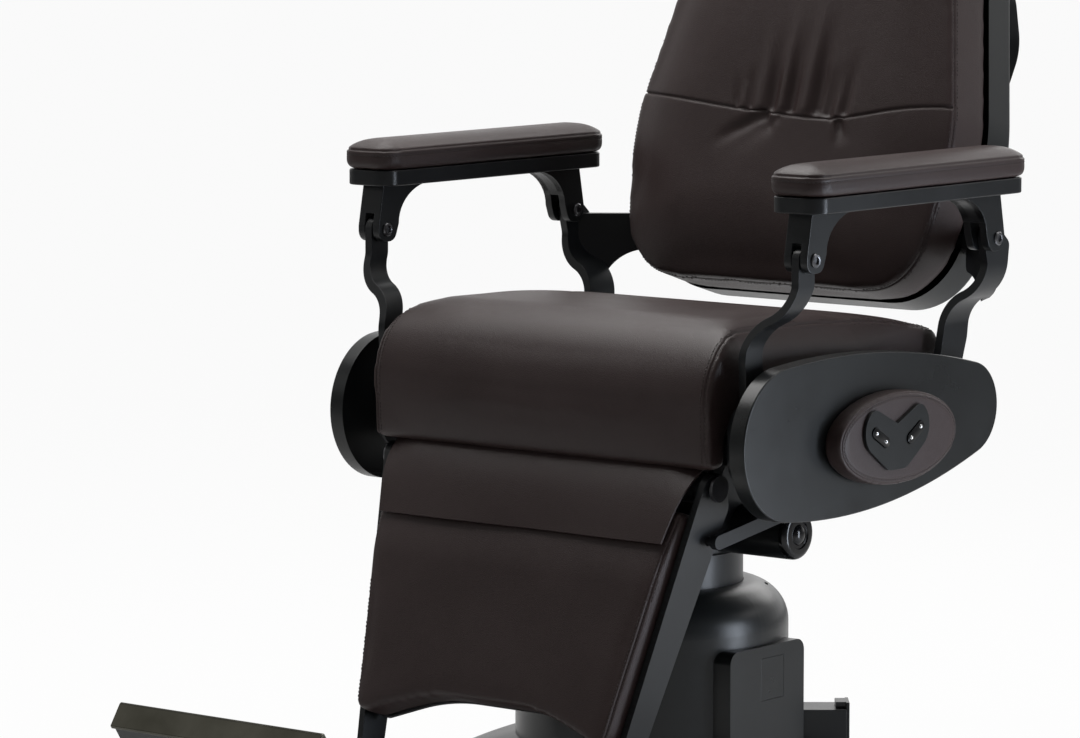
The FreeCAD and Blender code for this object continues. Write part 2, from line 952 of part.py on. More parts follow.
def rocker_outline(side, grow):
    """Slanted pill outline of one rocker in (y, z); side is -1 for the front one."""
    centre_y = key_y + side * rocker_spread
    centre_z = key_z + rocker_rise
    angle = math.radians(side * rocker_slant)
    half_length = rocker_length / 2 + grow
    half_width = rocker_width / 2 + grow
    corners = []
    for a, b in ((-1, -1), (1, -1), (1, 1), (-1, 1)):
        along = a * half_length
        across = b * half_width
        y = centre_y + along * math.cos(angle) - across * math.sin(angle)
        z = centre_z + along * math.sin(angle) + across * math.cos(angle)
        corners.append((y, z, half_width))
    return corners


def keypads():
    corners = [
        (key_y - key_half_width, key_z + key_tip_rise, key_tip_round),
        (key_y - key_lobe, key_z + key_rise, key_lobe_round),
        (key_y, key_z + key_notch, key_notch_round),
        (key_y + key_lobe, key_z + key_rise, key_lobe_round),
        (key_y + key_half_width, key_z + key_tip_rise, key_tip_round),
        (key_y + key_foot, key_z - key_drop, key_lobe_round),
        (key_y - key_foot, key_z - key_drop, key_lobe_round),
    ]
    plate = plate_x(corners, pad_face, pad_face + key_thickness)
    for side in (-1, 1):
        pocket = plate_x(rocker_outline(side, rocker_gap), pad_face, pad_face + key_thickness)
        plate = plate.cut(pocket)
    return pair(plate)


def rocker(side):
    low = pad_face + rocker_floor
    return plate_x(rocker_outline(side, 0), low, low + rocker_height)


def pivot_pins():
    leg_outer = leg_foot_x + leg_thickness / 2
    leg_pin = cross_rod(pin_radius, frame_half, leg_outer + soft_gap, front_pivot_y, recline_z)
    leg_head = cross_rod(
        pin_head_radius, leg_outer + soft_gap, leg_outer + soft_gap + pin_head, front_pivot_y, recline_z
    )
    plate_inner = hinge_plate_outer() - hinge_plate
    hub_outer = bar_x + bar_thickness / 2 + bar_hub_radius * taper_slope + swing_gap
    hinge_pin = cross_rod(pin_radius, plate_inner, hub_outer, hinge_y, hinge_z)
    hinge_head = cross_rod(pin_head_radius, hub_outer, hub_outer + pin_head, hinge_y, hinge_z)
    leg = leg_pin.fuse(leg_head)
    hinge = hinge_pin.fuse(hinge_head)
    return Part.makeCompound([leg, mirrored(leg), hinge, mirrored(hinge)])


def hinge_plate_outer():
    """Outer face of the legrest brackets, clear of the tapering bar hubs."""
    return bar_x - bar_thickness / 2 - bar_hub_radius * taper_slope - swing_gap


def legrest_brackets():
    beam_front = front_beam_y - beam_width / 2
    apron = cushion_front + cushion_lip_depth + soft_gap
    corners = [
        (beam_front, beam_top, 0),
        (beam_front, beam_z, 0),
        (hinge_y + hinge_radius, hinge_z - hinge_radius, hinge_radius),
        (hinge_y - hinge_radius, hinge_z - hinge_radius, hinge_radius),
        (hinge_y - hinge_radius, hinge_z + hinge_radius, hinge_radius),
        (max(hinge_y, apron) + bracket_step, hinge_z + hinge_radius + bracket_lift, bracket_lift),
        (apron + bracket_step, beam_top, bracket_round),
    ]
    outer = hinge_plate_outer()
    plate = plate_x(corners, outer - hinge_plate, outer)
    hole = cross_rod(pin_radius + fit_gap, outer - hinge_plate, outer, hinge_y, hinge_z)
    return pair(plate.cut(hole))


def actuator_body():
    tube = Part.makeCylinder(
        actuator_tube_radius, actuator_rear - actuator_front, V(0, actuator_front, actuator_z), V(0, 1, 0)
    )
    bore = Part.makeCylinder(
        rod_radius + running_gap,
        actuator_rear - actuator_front - actuator_wall,
        V(0, actuator_front + actuator_wall, actuator_z),
        V(0, 1, 0),
    )
    half = gearbox_size / 2
    gearbox = block(
        (-half, half + gearbox_size),
        (actuator_front, actuator_front + gearbox_length),
        (actuator_z - half / 2, beam_z),
    )
    lug = block(
        (-half, half),
        (front_beam_y - beam_width / 2, actuator_front + actuator_wall),
        (actuator_z - half / 2, beam_z),
    )
    return tube.fuse(gearbox).fuse(lug).cut(bore)


def front_flap():
    top = cushion_lip - flap_gap
    half = flap_thickness / 2
    corners = [
        (flap_top_y - half, top, 0),
        (flap_bottom_y - half, flap_bottom_z, 0),
        (flap_bottom_y + half, flap_bottom_z, 0),
        (flap_top_y + half, top, 0),
    ]
    front_view = [
        (-flap_half_bottom, flap_bottom_z, flap_corner),
        (flap_half_bottom, flap_bottom_z, flap_corner),
        (flap_half_top, top, 0),
        (-flap_half_top, top, 0),
    ]
    section = plate_x(corners, -flap_half_top, flap_half_top)
    return section.common(plate_y(front_view, flap_bottom_y - half, flap_top_y + half))


# Legs and back
def bend_band():
    """Front view of a bent leg in (x, z): up at the hip, out in two arcs, up to the arm."""
    step = arm_x - leg_foot_x
    turn = 2 * math.atan2(step, leg_bend_height)
    radius = leg_bend_height / (2 * math.sin(turn))
    half = leg_thickness / 2
    low_centre = (leg_foot_x + radius, leg_bend_z)
    high_centre = (arm_x - radius, leg_bend_z + leg_bend_height)
    foot = hip_bottom
    head = arm_bottom

    def at(centre, reach, degrees):
        angle = math.radians(degrees)
        return V(centre[0] + reach * math.cos(angle), 0, centre[1] + reach * math.sin(angle))

    degrees = math.degrees(turn)
    left = [at(low_centre, radius + half, 180 - k * degrees / 2) for k in range(3)]
    left_high = [at(high_centre, radius - half, k * degrees / 2 - degrees) for k in range(3)]
    right = [at(low_centre, radius - half, 180 - k * degrees / 2) for k in range(3)]
    right_high = [at(high_centre, radius + half, k * degrees / 2 - degrees) for k in range(3)]
    edges = [
        Part.makeLine(V(leg_foot_x - half, 0, foot), left[0]),
        Part.Arc(*left).toShape(),
        Part.Arc(*left_high).toShape(),
        Part.makeLine(left_high[2], V(arm_x - half, 0, head)),
        Part.makeLine(V(arm_x - half, 0, head), V(arm_x + half, 0, head)),
        Part.makeLine(V(arm_x + half, 0, head), right_high[2]),
        Part.Arc(*reversed(right_high)).toShape(),
        Part.Arc(*reversed(right)).toShape(),
        Part.makeLine(right[0], V(leg_foot_x + half, 0, foot)),
        Part.makeLine(V(leg_foot_x + half, 0, foot), V(leg_foot_x - half, 0, foot)),
    ]
    return Part.Face(Part.Wire(edges))


def bend_inside():
    """Everything on the sitter's side of a bent leg's middle."""
    reach = 2 * arm_length
    band = bend_band()
    band.translate(V(0, -reach / 2, 0))
    leg_space = band.extrude(V(0, reach, 0))
    low, high = leg_space.BoundBox.ZMin, leg_space.BoundBox.ZMax
    room = block((0, arm_x), (-reach / 2, reach / 2), (low, high)).cut(leg_space)
    inner = min(room.Solids, key=lambda solid: solid.BoundBox.XMin)
    return inner.fuse(leg_space)


def bent_leg(corners, foot_y, foot_hole, head_y, head_hole):
    """A flat bar cut to a (y, z) outline and bent as seen from the front, with its two holes."""
    blank = plate_x(corners, 0, arm_x + arm_width)
    band = bend_band()
    band.translate(V(0, hip_front, 0))
    depth = arm_front + arm_length - hip_front + back_leg_heel
    leg = blank.common(band.extrude(V(0, depth, 0)))
    leg = leg.cut(cross_rod(foot_hole, 0, arm_x, foot_y, recline_z))
    return leg.cut(cross_rod(head_hole, leg_foot_x + leg_thickness, arm_x + arm_width, head_y, arm_pivot_z))


def leg_side_view(foot_y, head_y, bow, neck):
    """Outline of a leg from its head down its front edge and round its foot.

    The leg bows forward by bow, and its front edge is set back by neck under the head.
    """
    half = leg_width / 2
    foot = leg_foot_radius
    return [
        (head_y + half, arm_pivot_z + half, half),
        (head_y - half, arm_pivot_z + half, half),
        (head_y - half + neck, arm_pivot_z - 2 * lobe_radius, leg_neck_round),
        (foot_y - bow - half, leg_bend_z, leg_knee_round),
        (foot_y - foot, recline_z, leg_ankle_round),
        (foot_y - foot, recline_z - foot, foot),
        (foot_y + foot, recline_z - foot, foot),
    ]


def front_leg():
    half = leg_width / 2
    corners = leg_side_view(front_pivot_y, front_arm_pivot_y, leg_bow, 0)
    corners += [
        (front_pivot_y + leg_foot_radius, recline_z, leg_ankle_round),
        (front_pivot_y - leg_bow + half, leg_bend_z, leg_knee_round),
        (front_arm_pivot_y + half, arm_pivot_z - 2 * lobe_radius, leg_neck_round),
    ]
    head_hole = bolt_radius + open_pivot_gap
    return bent_leg(corners, front_pivot_y, pin_radius + running_gap, front_arm_pivot_y, head_hole)


def back_gusset():
    """Bracket from the rear leg inwards and back to the cross tube of the back."""
    tube_y, tube_z_here = back_tube_place()
    start = V(arm_x, gusset_start_y, 0)
    end = V(lug_x + lug_thickness / 2, tube_y - lug_radius / 2, 0)
    along = end - start
    length = along.Length
    corners = [
        (0, gusset_top, 0),
        (length, gusset_top, gusset_round),
        (length, gusset_top - gusset_end_height, gusset_round),
        (length * gusset_arch_share, gusset_top - gusset_end_height, gusset_arc),
        (length * gusset_foot_share, gusset_foot, gusset_foot_round),
        (0, gusset_foot, 0),
    ]
    plate = plate_y(corners, -gusset_thickness / 2, gusset_thickness / 2)
    plate.rotate(V(0, 0, 0), V(0, 0, 1), math.degrees(math.atan2(along.y, along.x)))
    plate.translate(start)
    lug = cross_rod(lug_radius, lug_x, lug_x + lug_thickness, tube_y, tube_z_here)
    inside_bend = bend_inside()
    return plate.common(inside_bend).fuse(lug)


def back_leg():
    corners = leg_side_view(recline_y, arm_pivot_y, back_leg_bow, back_leg_neck)
    heel_y = arm_pivot_y + back_leg_heel
    corners += [
        (recline_y + leg_foot_radius, recline_z, leg_ankle_round),
        (heel_y - back_leg_taper, leg_bend_z - back_leg_taper, leg_knee_round),
        (heel_y, arm_pivot_z - lobe_radius / 2, leg_ankle_round),
    ]
    leg = bent_leg(corners, recline_y, shaft_radius + fit_gap, arm_pivot_y, bolt_radius + running_gap)
    return leg.fuse(back_gusset()).removeSplitter()


def back_tube_place():
    """Centre of the back's cross tube in (y, z)."""
    tilt = math.radians(back_tilt)
    y = back_foot_y + frame_depth * math.cos(tilt) + back_tube_v * math.sin(tilt)
    z = back_foot_z - frame_depth * math.sin(tilt) + back_tube_v * math.cos(tilt)
    return y, z


def crank(y_pin_drop, low, high, pin_radius_there):
    """Crank arm hanging from the shaft between x = low and x = high."""
    tip = pin_radius_there + link_pin_radius
    corners = [
        (recline_y - shaft_radius, recline_z, 0),
        (recline_y + shaft_radius, recline_z, 0),
        (recline_y + tip, recline_z - y_pin_drop - tip, tip),
        (recline_y - tip, recline_z - y_pin_drop - tip, tip),
    ]
    return plate_x(corners, low, high)


def back_shaft():
    end = leg_foot_x + leg_thickness / 2
    shaft = cross_rod(shaft_radius, -end, end, recline_y, recline_z)
    inner = link_x - link_thickness / 2 - swing_gap - crank_thickness
    arm = crank(link_crank, inner, inner + crank_thickness, link_pin_radius)
    pin_hole = link_pin_radius + running_gap
    arm = arm.cut(cross_rod(pin_hole, inner, inner + crank_thickness, recline_y, recline_z - link_crank))
    low = yoke_half + swing_gap
    drive = crank(actuator_crank, low, low + crank_thickness, actuator_pin_radius)
    shaft = shaft.fuse([arm, mirrored(arm), drive, mirrored(drive)])
    half_pin = low + crank_thickness
    drive_pin = cross_rod(actuator_pin_radius, -half_pin, half_pin, recline_y, actuator_z)
    return shaft.fuse(drive_pin).removeSplitter()


def back_outline(share, depth):
    """Outline of the back at a depth, shrunk about its middle to the given share."""
    middle = back_height / 2

    def corner(x, v, radius):
        return (x * share, middle + (v - middle) * share, radius * share)

    right = [
        corner(back_foot_half, 0, back_foot_round),
        corner(back_waist_half, back_waist, back_waist_round),
        corner(back_head_half, back_height, back_head_round),
    ]
    left = [(-x, v, radius) for x, v, radius in reversed(right)]
    return rounded(right + left, lambda a, b: V(a, depth, b))


def back_cushion():
    body = Part.Face(back_outline(1, 0)).extrude(V(0, back_pad, 0))
    crown = Part.makeLoft([back_outline(1, 0), back_outline(back_crown_share, -back_crown)], True, True)
    return on_back(body.fuse(crown).removeSplitter())


def back_shell():
    body = Part.Face(back_outline(shell_share, shell_front)).extrude(V(0, shell_depth - shell_edge, 0))
    round_start = shell_rear - shell_edge
    edge = Part.makeLoft(
        [back_outline(shell_share, round_start), back_outline(shell_round_share, shell_rear)], True, True
    )
    inner_share = shell_share - shell_wall / back_head_half
    hollow = Part.Face(back_outline(inner_share, shell_front)).extrude(V(0, shell_depth - shell_edge, 0))
    shell = body.fuse(edge).cut(hollow)
    for x in (-post_x, post_x):
        shell = shell.cut(upright_rod(post_radius + soft_gap, back_height / 2, post_top, x, frame_depth))
    tube = cross_rod(back_tube_radius + fit_gap, -arm_x, arm_x, frame_depth, back_tube_v)
    return on_back(shell.cut(tube))


def back_frame():
    low = frame_depth - upright_depth / 2
    high = frame_depth + upright_depth / 2
    half = upright_width / 2
    shapes = []
    for x in (-upright_x, upright_x):
        shapes.append(block((x - half, x + half), (low, high), (upright_foot, upright_head)))
    top = block((-upright_x, upright_x), (low, high), (upright_head - upright_width, upright_head))
    tube_end = lug_x - fit_gap
    tube = cross_rod(back_tube_radius, -tube_end, tube_end, frame_depth, back_tube_v)
    frame = shapes[0].fuse([shapes[1], top, tube])
    for x in (-post_x, post_x):
        low_end = upright_head - upright_width
        frame = frame.cut(upright_rod(post_radius + running_gap, low_end, upright_head, x, frame_depth))
    return on_back(frame.removeSplitter())


def rear_handle():
    foot = shell_rear + fit_gap
    top = handle_foot + handle_height
    corners = [
        (foot, handle_foot, 0),
        (foot + handle_knee_depth, handle_foot + handle_knee_height, handle_knee_round),
        (foot + handle_depth, handle_foot + handle_peak_height, handle_peak_round),
        (foot + handle_brow_depth, top - handle_brow_drop, handle_brow_round),
        (foot, top, 0),
    ]
    return on_back(plate_x(corners, -handle_half, handle_half))


# Headrest
def headrest_posts():
    bar = cross_rod(post_radius, -head_bar_half, head_bar_half, frame_depth, post_top)
    posts = [upright_rod(post_radius, post_foot, post_top, x, frame_depth) for x in (-post_x, post_x)]
    return on_back(bar.fuse(posts).removeSplitter())


def headrest_plate():
    depth = head_plate_depth()
    corners = [
        (-head_plate_half, head_plate_foot, head_plate_round),
        (head_plate_half, head_plate_foot, head_plate_round),
        (head_plate_half, head_plate_foot + head_plate_height, head_plate_round),
        (-head_plate_half, head_plate_foot + head_plate_height, head_plate_round),
    ]
    plate = plate_y(corners, depth, depth + head_plate)
    knuckle = cross_rod(head_block_radius, -head_block_half, head_block_half, frame_depth, post_top)
    neck = block(
        (-head_block_half, head_block_half),
        (depth, frame_depth),
        (post_top - head_block_radius, post_top + head_block_radius),
    )
    bore = cross_rod(post_radius + running_gap, -head_bar_half, head_bar_half, frame_depth, post_top)
    return on_back(plate.fuse([knuckle, neck]).cut(bore).removeSplitter())


def head_plate_depth():
    """Front face of the headrest plate, clear of the posts."""
    return frame_depth - post_radius - head_block_radius - head_plate


def headrest_pad():
    rear = head_plate_depth() - soft_gap
    front = rear - head_pad_depth
    top = head_pad_foot + head_pad_height
    front_view = [
        (-head_pad_half, head_pad_foot, head_pad_round),
        (head_pad_half, head_pad_foot, head_pad_round),
        (head_pad_half, top, head_pad_round),
        (-head_pad_half, top, head_pad_round),
    ]
    section = [
        (front, head_pad_foot, head_pad_depth / 2),
        (front, top, head_pad_depth / 2),
        (rear, top, head_pad_edge),
        (rear, head_pad_foot, head_pad_edge),
    ]
    pad = plate_y(front_view, front, rear).common(plate_x(section, -head_pad_half, head_pad_half))
    return on_back(pad)


# Armrests
def arm_plan(shrink):
    half = arm_width / 2 - shrink
    front = arm_front + shrink
    rear = arm_front + arm_length - shrink
    return [
        (arm_x - half, front, arm_corner),
        (arm_x + half, front, arm_corner),
        (arm_x + half, rear, arm_corner),
        (arm_x - half, rear, arm_corner),
    ]


def arm_lobe(pivot_y, inward, low, high):
    """One ear of an arm bracket; inward is 1 where the wide arc looks to the rear."""
    sunk = arm_bottom + arm_plate / 2
    tip = arm_pivot_z - lobe_radius

    def corner(offset, z, radius):
        return (pivot_y + inward * offset, z, radius)

    corners = [
        corner(-lobe_radius - lobe_toe, sunk, 0),
        corner(-lobe_radius - lobe_toe, arm_bottom, 0),
        corner(-lobe_radius, arm_bottom, lobe_toe),
        corner(-lobe_radius, tip, lobe_radius),
        corner(lobe_radius, tip, lobe_radius),
        corner(lobe_radius, arm_bottom, lobe_arc),
        corner(lobe_radius + lobe_arc + lobe_toe, arm_bottom, 0),
        corner(lobe_radius + lobe_arc + lobe_toe, sunk, 0),
    ]
    return plate_x(corners, low, high)


def arm_lobe_sides():
    """The (low, high) x of the inner and outer ears, either side of the leg."""
    clear = leg_thickness / 2 + swing_gap
    return (
        (arm_x - clear - lobe_thickness, arm_x - clear),
        (arm_x + clear, arm_x + clear + lobe_thickness),
    )


def arm_base():
    base = plate_z(arm_plan(0), arm_bottom, arm_seat)
    for low, high in arm_lobe_sides():
        base = base.fuse(arm_lobe(front_arm_pivot_y, 1, low, high))
        base = base.fuse(arm_lobe(arm_pivot_y, -1, low, high))
    low, high = arm_x - arm_width, arm_x + arm_width
    for y in (front_arm_pivot_y, arm_pivot_y):
        base = base.cut(cross_rod(bolt_radius + fit_gap, low, high, y, arm_pivot_z))
    return base.removeSplitter()


def arm_pad_solid():
    rear = arm_front + arm_length
    body = plate_z(arm_plan(0), arm_seat + soft_gap, arm_seat + arm_pad)
    half = arm_width / 2
    end_view = [
        (arm_x - half, arm_seat + soft_gap, arm_pad_edge),
        (arm_x + half, arm_seat + soft_gap, arm_pad_edge),
        (arm_x + half, arm_seat + arm_pad, arm_pad_round),
        (arm_x - half, arm_seat + arm_pad, arm_pad_round),
    ]
    return body.common(plate_y(end_view, arm_front, rear))


def arm_bolts():
    inner, outer = arm_lobe_sides()
    bolts = []
    for y in (front_arm_pivot_y, arm_pivot_y):
        shank = cross_rod(bolt_radius, inner[0] - bolt_cap, outer[1], y, arm_pivot_z)
        head = cross_rod(bolt_cap_radius, outer[1], outer[1] + bolt_cap, y, arm_pivot_z)
        nut = cross_rod(bolt_cap_radius, inner[0] - bolt_cap, inner[0], y, arm_pivot_z)
        bolts.append(shank.fuse([head, nut]).removeSplitter())
    return Part.makeCompound(bolts)


# Legrest
def legrest_bars():
    top = hinge_z + bar_hub_radius
    arm_low = foot_pivot_z - arm_tube_height / 2
    arm_high = foot_pivot_z + arm_tube_height / 2
    rise = (bar_shoulder_z - arm_high) / (bar_shoulder_z - bar_foot_z)
    elbow = bar_front_top + (bar_front_foot - bar_front_top) * rise
    corners = [
        (hinge_y + bar_hub_radius, top, bar_hub_radius),
        (hinge_y - bar_hub_radius, top, bar_hub_radius),
        (bar_front_top, bar_shoulder_z, bar_round),
        (elbow, arm_high, bar_elbow),
        (foot_pivot_y, arm_high, 0),
        (foot_pivot_y - foot_hub_radius, arm_high, foot_hub_radius),
        (foot_pivot_y - foot_hub_radius, arm_low, foot_hub_radius),
        (foot_pivot_y, arm_low, 0),
        (bar_rear_foot, arm_low, bar_heel_round),
        (bar_rear_top, bar_shoulder_z, bar_round),
    ]
    bar = plate_x(corners, -bar_thickness / 2, bar_thickness / 2)
    bar.rotate(V(0, 0, hinge_z), V(0, 1, 0), bar_taper)
    bar.translate(V(bar_x, 0, 0))
    reach = bar_x + bar_thickness
    holes = [
        (pin_radius + running_gap, hinge_y, hinge_z),
        (link_pin_radius + open_pivot_gap, hinge_y, hinge_z - link_crank),
        (foot_shaft_radius + running_gap, foot_pivot_y, foot_pivot_z),
    ]
    for radius, y, z in holes:
        bar = bar.cut(cross_rod(radius, foot_half, reach + bar_hub_radius, y, z))
    return pair(bar)


def legrest_half(v, gap):
    """Half the width between the bars at v up the pad, less a gap."""
    drop = hinge_z - legrest_top_z
    slope = taper_slope * math.cos(math.radians(legrest_tilt))
    inner = bar_x - bar_thickness / 2 / math.cos(math.radians(bar_taper))
    return inner - drop * taper_slope + v * slope - gap


def legrest_panel(gap, front, rear):
    """A panel of the legrest with a tapering, arched outline between two depths."""
    foot = -legrest_height
    top_half = legrest_half(0, gap)
    foot_half_width = legrest_half(foot, gap)
    corners = [
        (-top_half, 0, legrest_edge),
        (-foot_half_width, foot, legrest_corner),
        (-foot_half_width * legrest_arch_share, foot + legrest_arch, legrest_arch_round),
        (foot_half_width * legrest_arch_share, foot + legrest_arch, legrest_arch_round),
        (foot_half_width, foot, legrest_corner),
        (top_half, 0, legrest_edge),
    ]
    return on_legrest(plate_y(corners, front, rear))


def legrest_pad():
    return legrest_panel(legrest_side_gap, 0, legrest_pad_depth)


def legrest_board_panel():
    front = legrest_pad_depth + soft_gap
    gap = fit_gap + (front + legrest_board) * taper_slope * math.sin(math.radians(legrest_tilt))
    return legrest_panel(gap, front, front + legrest_board)


def legrest_links():
    half = link_width / 2
    low = link_x - link_thickness / 2
    high = link_x + link_thickness / 2
    rear = V(0, recline_y, recline_z - link_crank)
    front = V(0, hinge_y, hinge_z - link_crank)
    along = (rear - front).normalize()
    across = V(0, -along.z, along.y)
    ends = [
        front - along * half + across * half,
        front - along * half - across * half,
        rear + along * half - across * half,
        rear + along * half + across * half,
    ]
    link = plate_x([(p.y, p.z, half) for p in ends], low, high)
    crank_inner = low - swing_gap - crank_thickness
    rear_pin = cross_rod(link_pin_radius, crank_inner, high, rear.y, rear.z)
    bar_middle = bar_x - link_crank * taper_slope
    front_pin = cross_rod(link_pin_radius, bar_middle - bar_thickness, high, front.y, front.z)
    return pair(link.fuse([rear_pin, front_pin]).removeSplitter())


def actuator_rod():
    half = yoke_depth / 2
    length = recline_y - half - rod_front
    rod = Part.makeCylinder(rod_radius, length, V(0, rod_front, actuator_z), V(0, 1, 0))
    low = actuator_z - actuator_pin_radius - yoke_wall
    high = actuator_z + yoke_rise + yoke_wall
    yoke = block((-yoke_half, yoke_half), (recline_y - half, recline_y + half), (low, high))
    slot = actuator_pin_radius + yoke_play / 2
    opening = [
        (recline_y - slot, actuator_z - slot, slot),
        (recline_y + slot, actuator_z - slot, slot),
        (recline_y + slot, actuator_z + yoke_rise, slot),
        (recline_y - slot, actuator_z + yoke_rise, slot),
    ]
    return rod.fuse(yoke).cut(plate_x(opening, -yoke_half, yoke_half)).removeSplitter()


# Footrest
def on_footrest(shape):
    """A shape of the footrest, drawn upright over its shaft and leaned forward."""
    return leaned(shape, -foot_lean, foot_pivot_y, foot_pivot_z)


def footrest_body():
    half = foot_thickness / 2
    corners = [
        (-half, 0, half),
        (-half, foot_length, foot_edge),
        (half - foot_skin, foot_length, foot_edge),
        (half - foot_skin, 0, half - foot_skin),
    ]
    body = plate_x(corners, -foot_half, foot_half)
    hub = cross_rod(foot_hub_radius, -foot_half, foot_half, 0, 0)
    end = bar_x - (hinge_z - foot_pivot_z) * taper_slope + bar_thickness
    shaft = cross_rod(foot_shaft_radius, -end, end, 0, 0)
    return on_footrest(body.fuse([hub, shaft]).removeSplitter())


def footrest_tread():
    half = foot_thickness / 2
    front = half - foot_skin + fit_gap
    foot = foot_hub_radius + swing_gap
    top = foot_length + fit_gap
    corners = [
        (front, foot, 0),
        (front, top, 0),
        (-half, top, 0),
        (-half - foot_skin, top - foot_strip / 3, foot_strip_edge),
        (-half - foot_skin, top, foot_strip_edge),
        (front, top + foot_strip / 2, foot_strip_round),
        (half, top + foot_strip / 2, foot_strip_round),
        (half, foot, 0),
    ]
    return on_footrest(plate_x(corners, -foot_half, foot_half))


def nodes():
    """Every node's name and shape."""
    yield "base_pad", base_pad()
    yield "base_plate", base_plate()
    yield "base_dome", base_dome()
    yield "column_cover", column_cover()
    yield "lift_cylinder", lift_cylinder()
    yield "cylinder_bolts", cylinder_bolts()
    yield "control_box", control_box()
    yield "control_box_hatch", control_box_hatch()
    yield "pump_motor", pump_motor()
    yield "inlet_box", inlet_box()
    yield "inlet_socket", inlet_socket()
    yield "lift_ram", lift_ram()
    yield "lift_sleeve", lift_sleeve()
    yield "swivel_housing", swivel_housing()
    yield "swivel_washer", swivel_washer()
    yield "swivel_head", swivel_head()
    yield "cross_tube", cross_tube()
    yield "cross_tube_caps", cross_tube_caps()
    yield "tube_saddles", tube_saddles()
    yield "seat_frame", seat_frame()
    yield "seat_board", seat_board()
    yield "seat_bolts", seat_bolts()
    yield "seat_cushion", seat_cushion()
    yield "hip_plates", hip_plates()
    yield "side_covers", side_covers()
    yield "side_pads", side_pads()
    yield "keypads", keypads()
    yield "pivot_pins", pivot_pins()
    yield "legrest_brackets", legrest_brackets()
    yield "actuator_body", actuator_body()
    yield "front_flap", front_flap()
    for place, side in (("front", -1), ("rear", 1)):
        shape = rocker(side)
        yield f"rocker_{place}_left", shape
        yield f"rocker_{place}_right", mirrored(shape)
    yield "back_leg_left", back_leg()
    yield "back_leg_right", mirrored(back_leg())
    yield "back_shaft", back_shaft()
    yield "back_frame", back_frame()
    yield "back_shell", back_shell()
    yield "back_cushion", back_cushion()
    yield "rear_handle", rear_handle()
    yield "headrest_posts", headrest_posts()
    yield "headrest_plate", headrest_plate()
    yield "headrest_pad", headrest_pad()
    for name, shape in (
        ("arm_base", arm_base()),
        ("arm_pad", arm_pad_solid()),
        ("arm_bolts", arm_bolts()),
        ("front_leg", front_leg()),
    ):
        yield f"{name}_left", shape
        yield f"{name}_right", mirrored(shape)
    yield "legrest_bars", legrest_bars()
    yield "legrest_board", legrest_board_panel()
    yield "legrest_pad", legrest_pad()
    yield "legrest_links", legrest_links()
    yield "actuator_rod", actuator_rod()
    yield "footrest_body", footrest_body()
    yield "footrest_tread", footrest_tread()


os.makedirs("parts", exist_ok=True)
for name, shape in nodes():
    shape.exportStep(f"parts/{name}.step")
    print(f"{name}: {len(shape.Solids)} solids, {shape.Volume / 1000:.1f} cm3, valid {shape.isValid()}")
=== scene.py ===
"""Barber chair: finishes, upholstery, hardware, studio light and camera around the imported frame.

Metres, in the frame of the solids: the floor is at z = 0 under the swivel axis, +X is the sitter's
left and the chair faces -Y.
"""
import json
import logging
import math
from collections.abc import Callable, Iterable, Sequence
from dataclasses import dataclass, field
from enum import Enum

import bmesh
import bpy
from mathutils import Matrix, Vector
from mathutils.bvhtree import BVHTree
from mathutils.kdtree import KDTree


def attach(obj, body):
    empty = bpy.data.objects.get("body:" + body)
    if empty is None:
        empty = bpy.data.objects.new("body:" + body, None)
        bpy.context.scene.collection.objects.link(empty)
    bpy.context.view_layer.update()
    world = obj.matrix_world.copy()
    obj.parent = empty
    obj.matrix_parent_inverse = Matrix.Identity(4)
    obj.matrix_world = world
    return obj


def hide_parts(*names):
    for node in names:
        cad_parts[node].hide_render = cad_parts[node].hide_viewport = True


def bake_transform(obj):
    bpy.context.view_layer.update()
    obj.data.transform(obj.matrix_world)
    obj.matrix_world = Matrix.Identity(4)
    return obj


BMesh = bmesh.types.BMesh
Socket = bpy.types.NodeSocket
Point = tuple[float, float]
Colour = tuple[float, float, float, float]

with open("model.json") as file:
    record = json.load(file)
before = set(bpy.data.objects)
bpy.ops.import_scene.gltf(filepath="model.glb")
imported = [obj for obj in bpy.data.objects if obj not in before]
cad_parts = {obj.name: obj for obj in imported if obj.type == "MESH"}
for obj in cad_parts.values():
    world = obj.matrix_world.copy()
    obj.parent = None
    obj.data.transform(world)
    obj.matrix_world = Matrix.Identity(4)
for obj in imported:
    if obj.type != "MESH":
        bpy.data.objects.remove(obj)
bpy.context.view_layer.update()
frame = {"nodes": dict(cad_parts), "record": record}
log = logging.getLogger("barber_chair")

MM = 0.001
SIDES = (1, -1)

# Points nearer than this are one point, and faces that turn less than this are one face
WELD = 0.01 * MM
FLAT = math.radians(0.4)

# How far a groove reaches in widths, and how a seam is laid, refined and stitched
GROOVE_REACH = 2.6
SEAM_STEP = 1.5 * MM
SEAM_REACHES = (7.0 * MM, 4.0 * MM)
STITCH_HALF_LENGTH = 1.75
STITCH_RADIUS = 0.5
STITCH_LIFT = 0.15


class Slot(Enum):
    """Material slots of the chair's record."""

    LEATHER = "leather"
    BLACK_METAL = "black_metal"
    BLACK_PLASTIC = "black_plastic"
    BUTTON_PLASTIC = "button_plastic"
    STEEL = "steel"
    POLISHED_METAL = "polished_metal"
    RUBBER = "rubber"
    PLYWOOD = "plywood"


BODY_OF = {node: body for body, nodes in frame["record"]["behaviour"]["bodies"].items() for node in nodes}
SLOT_OF = {part["node"]: Slot(part["material_slot"]) for part in frame["record"]["subparts"]}


# Shader helpers and shared effects


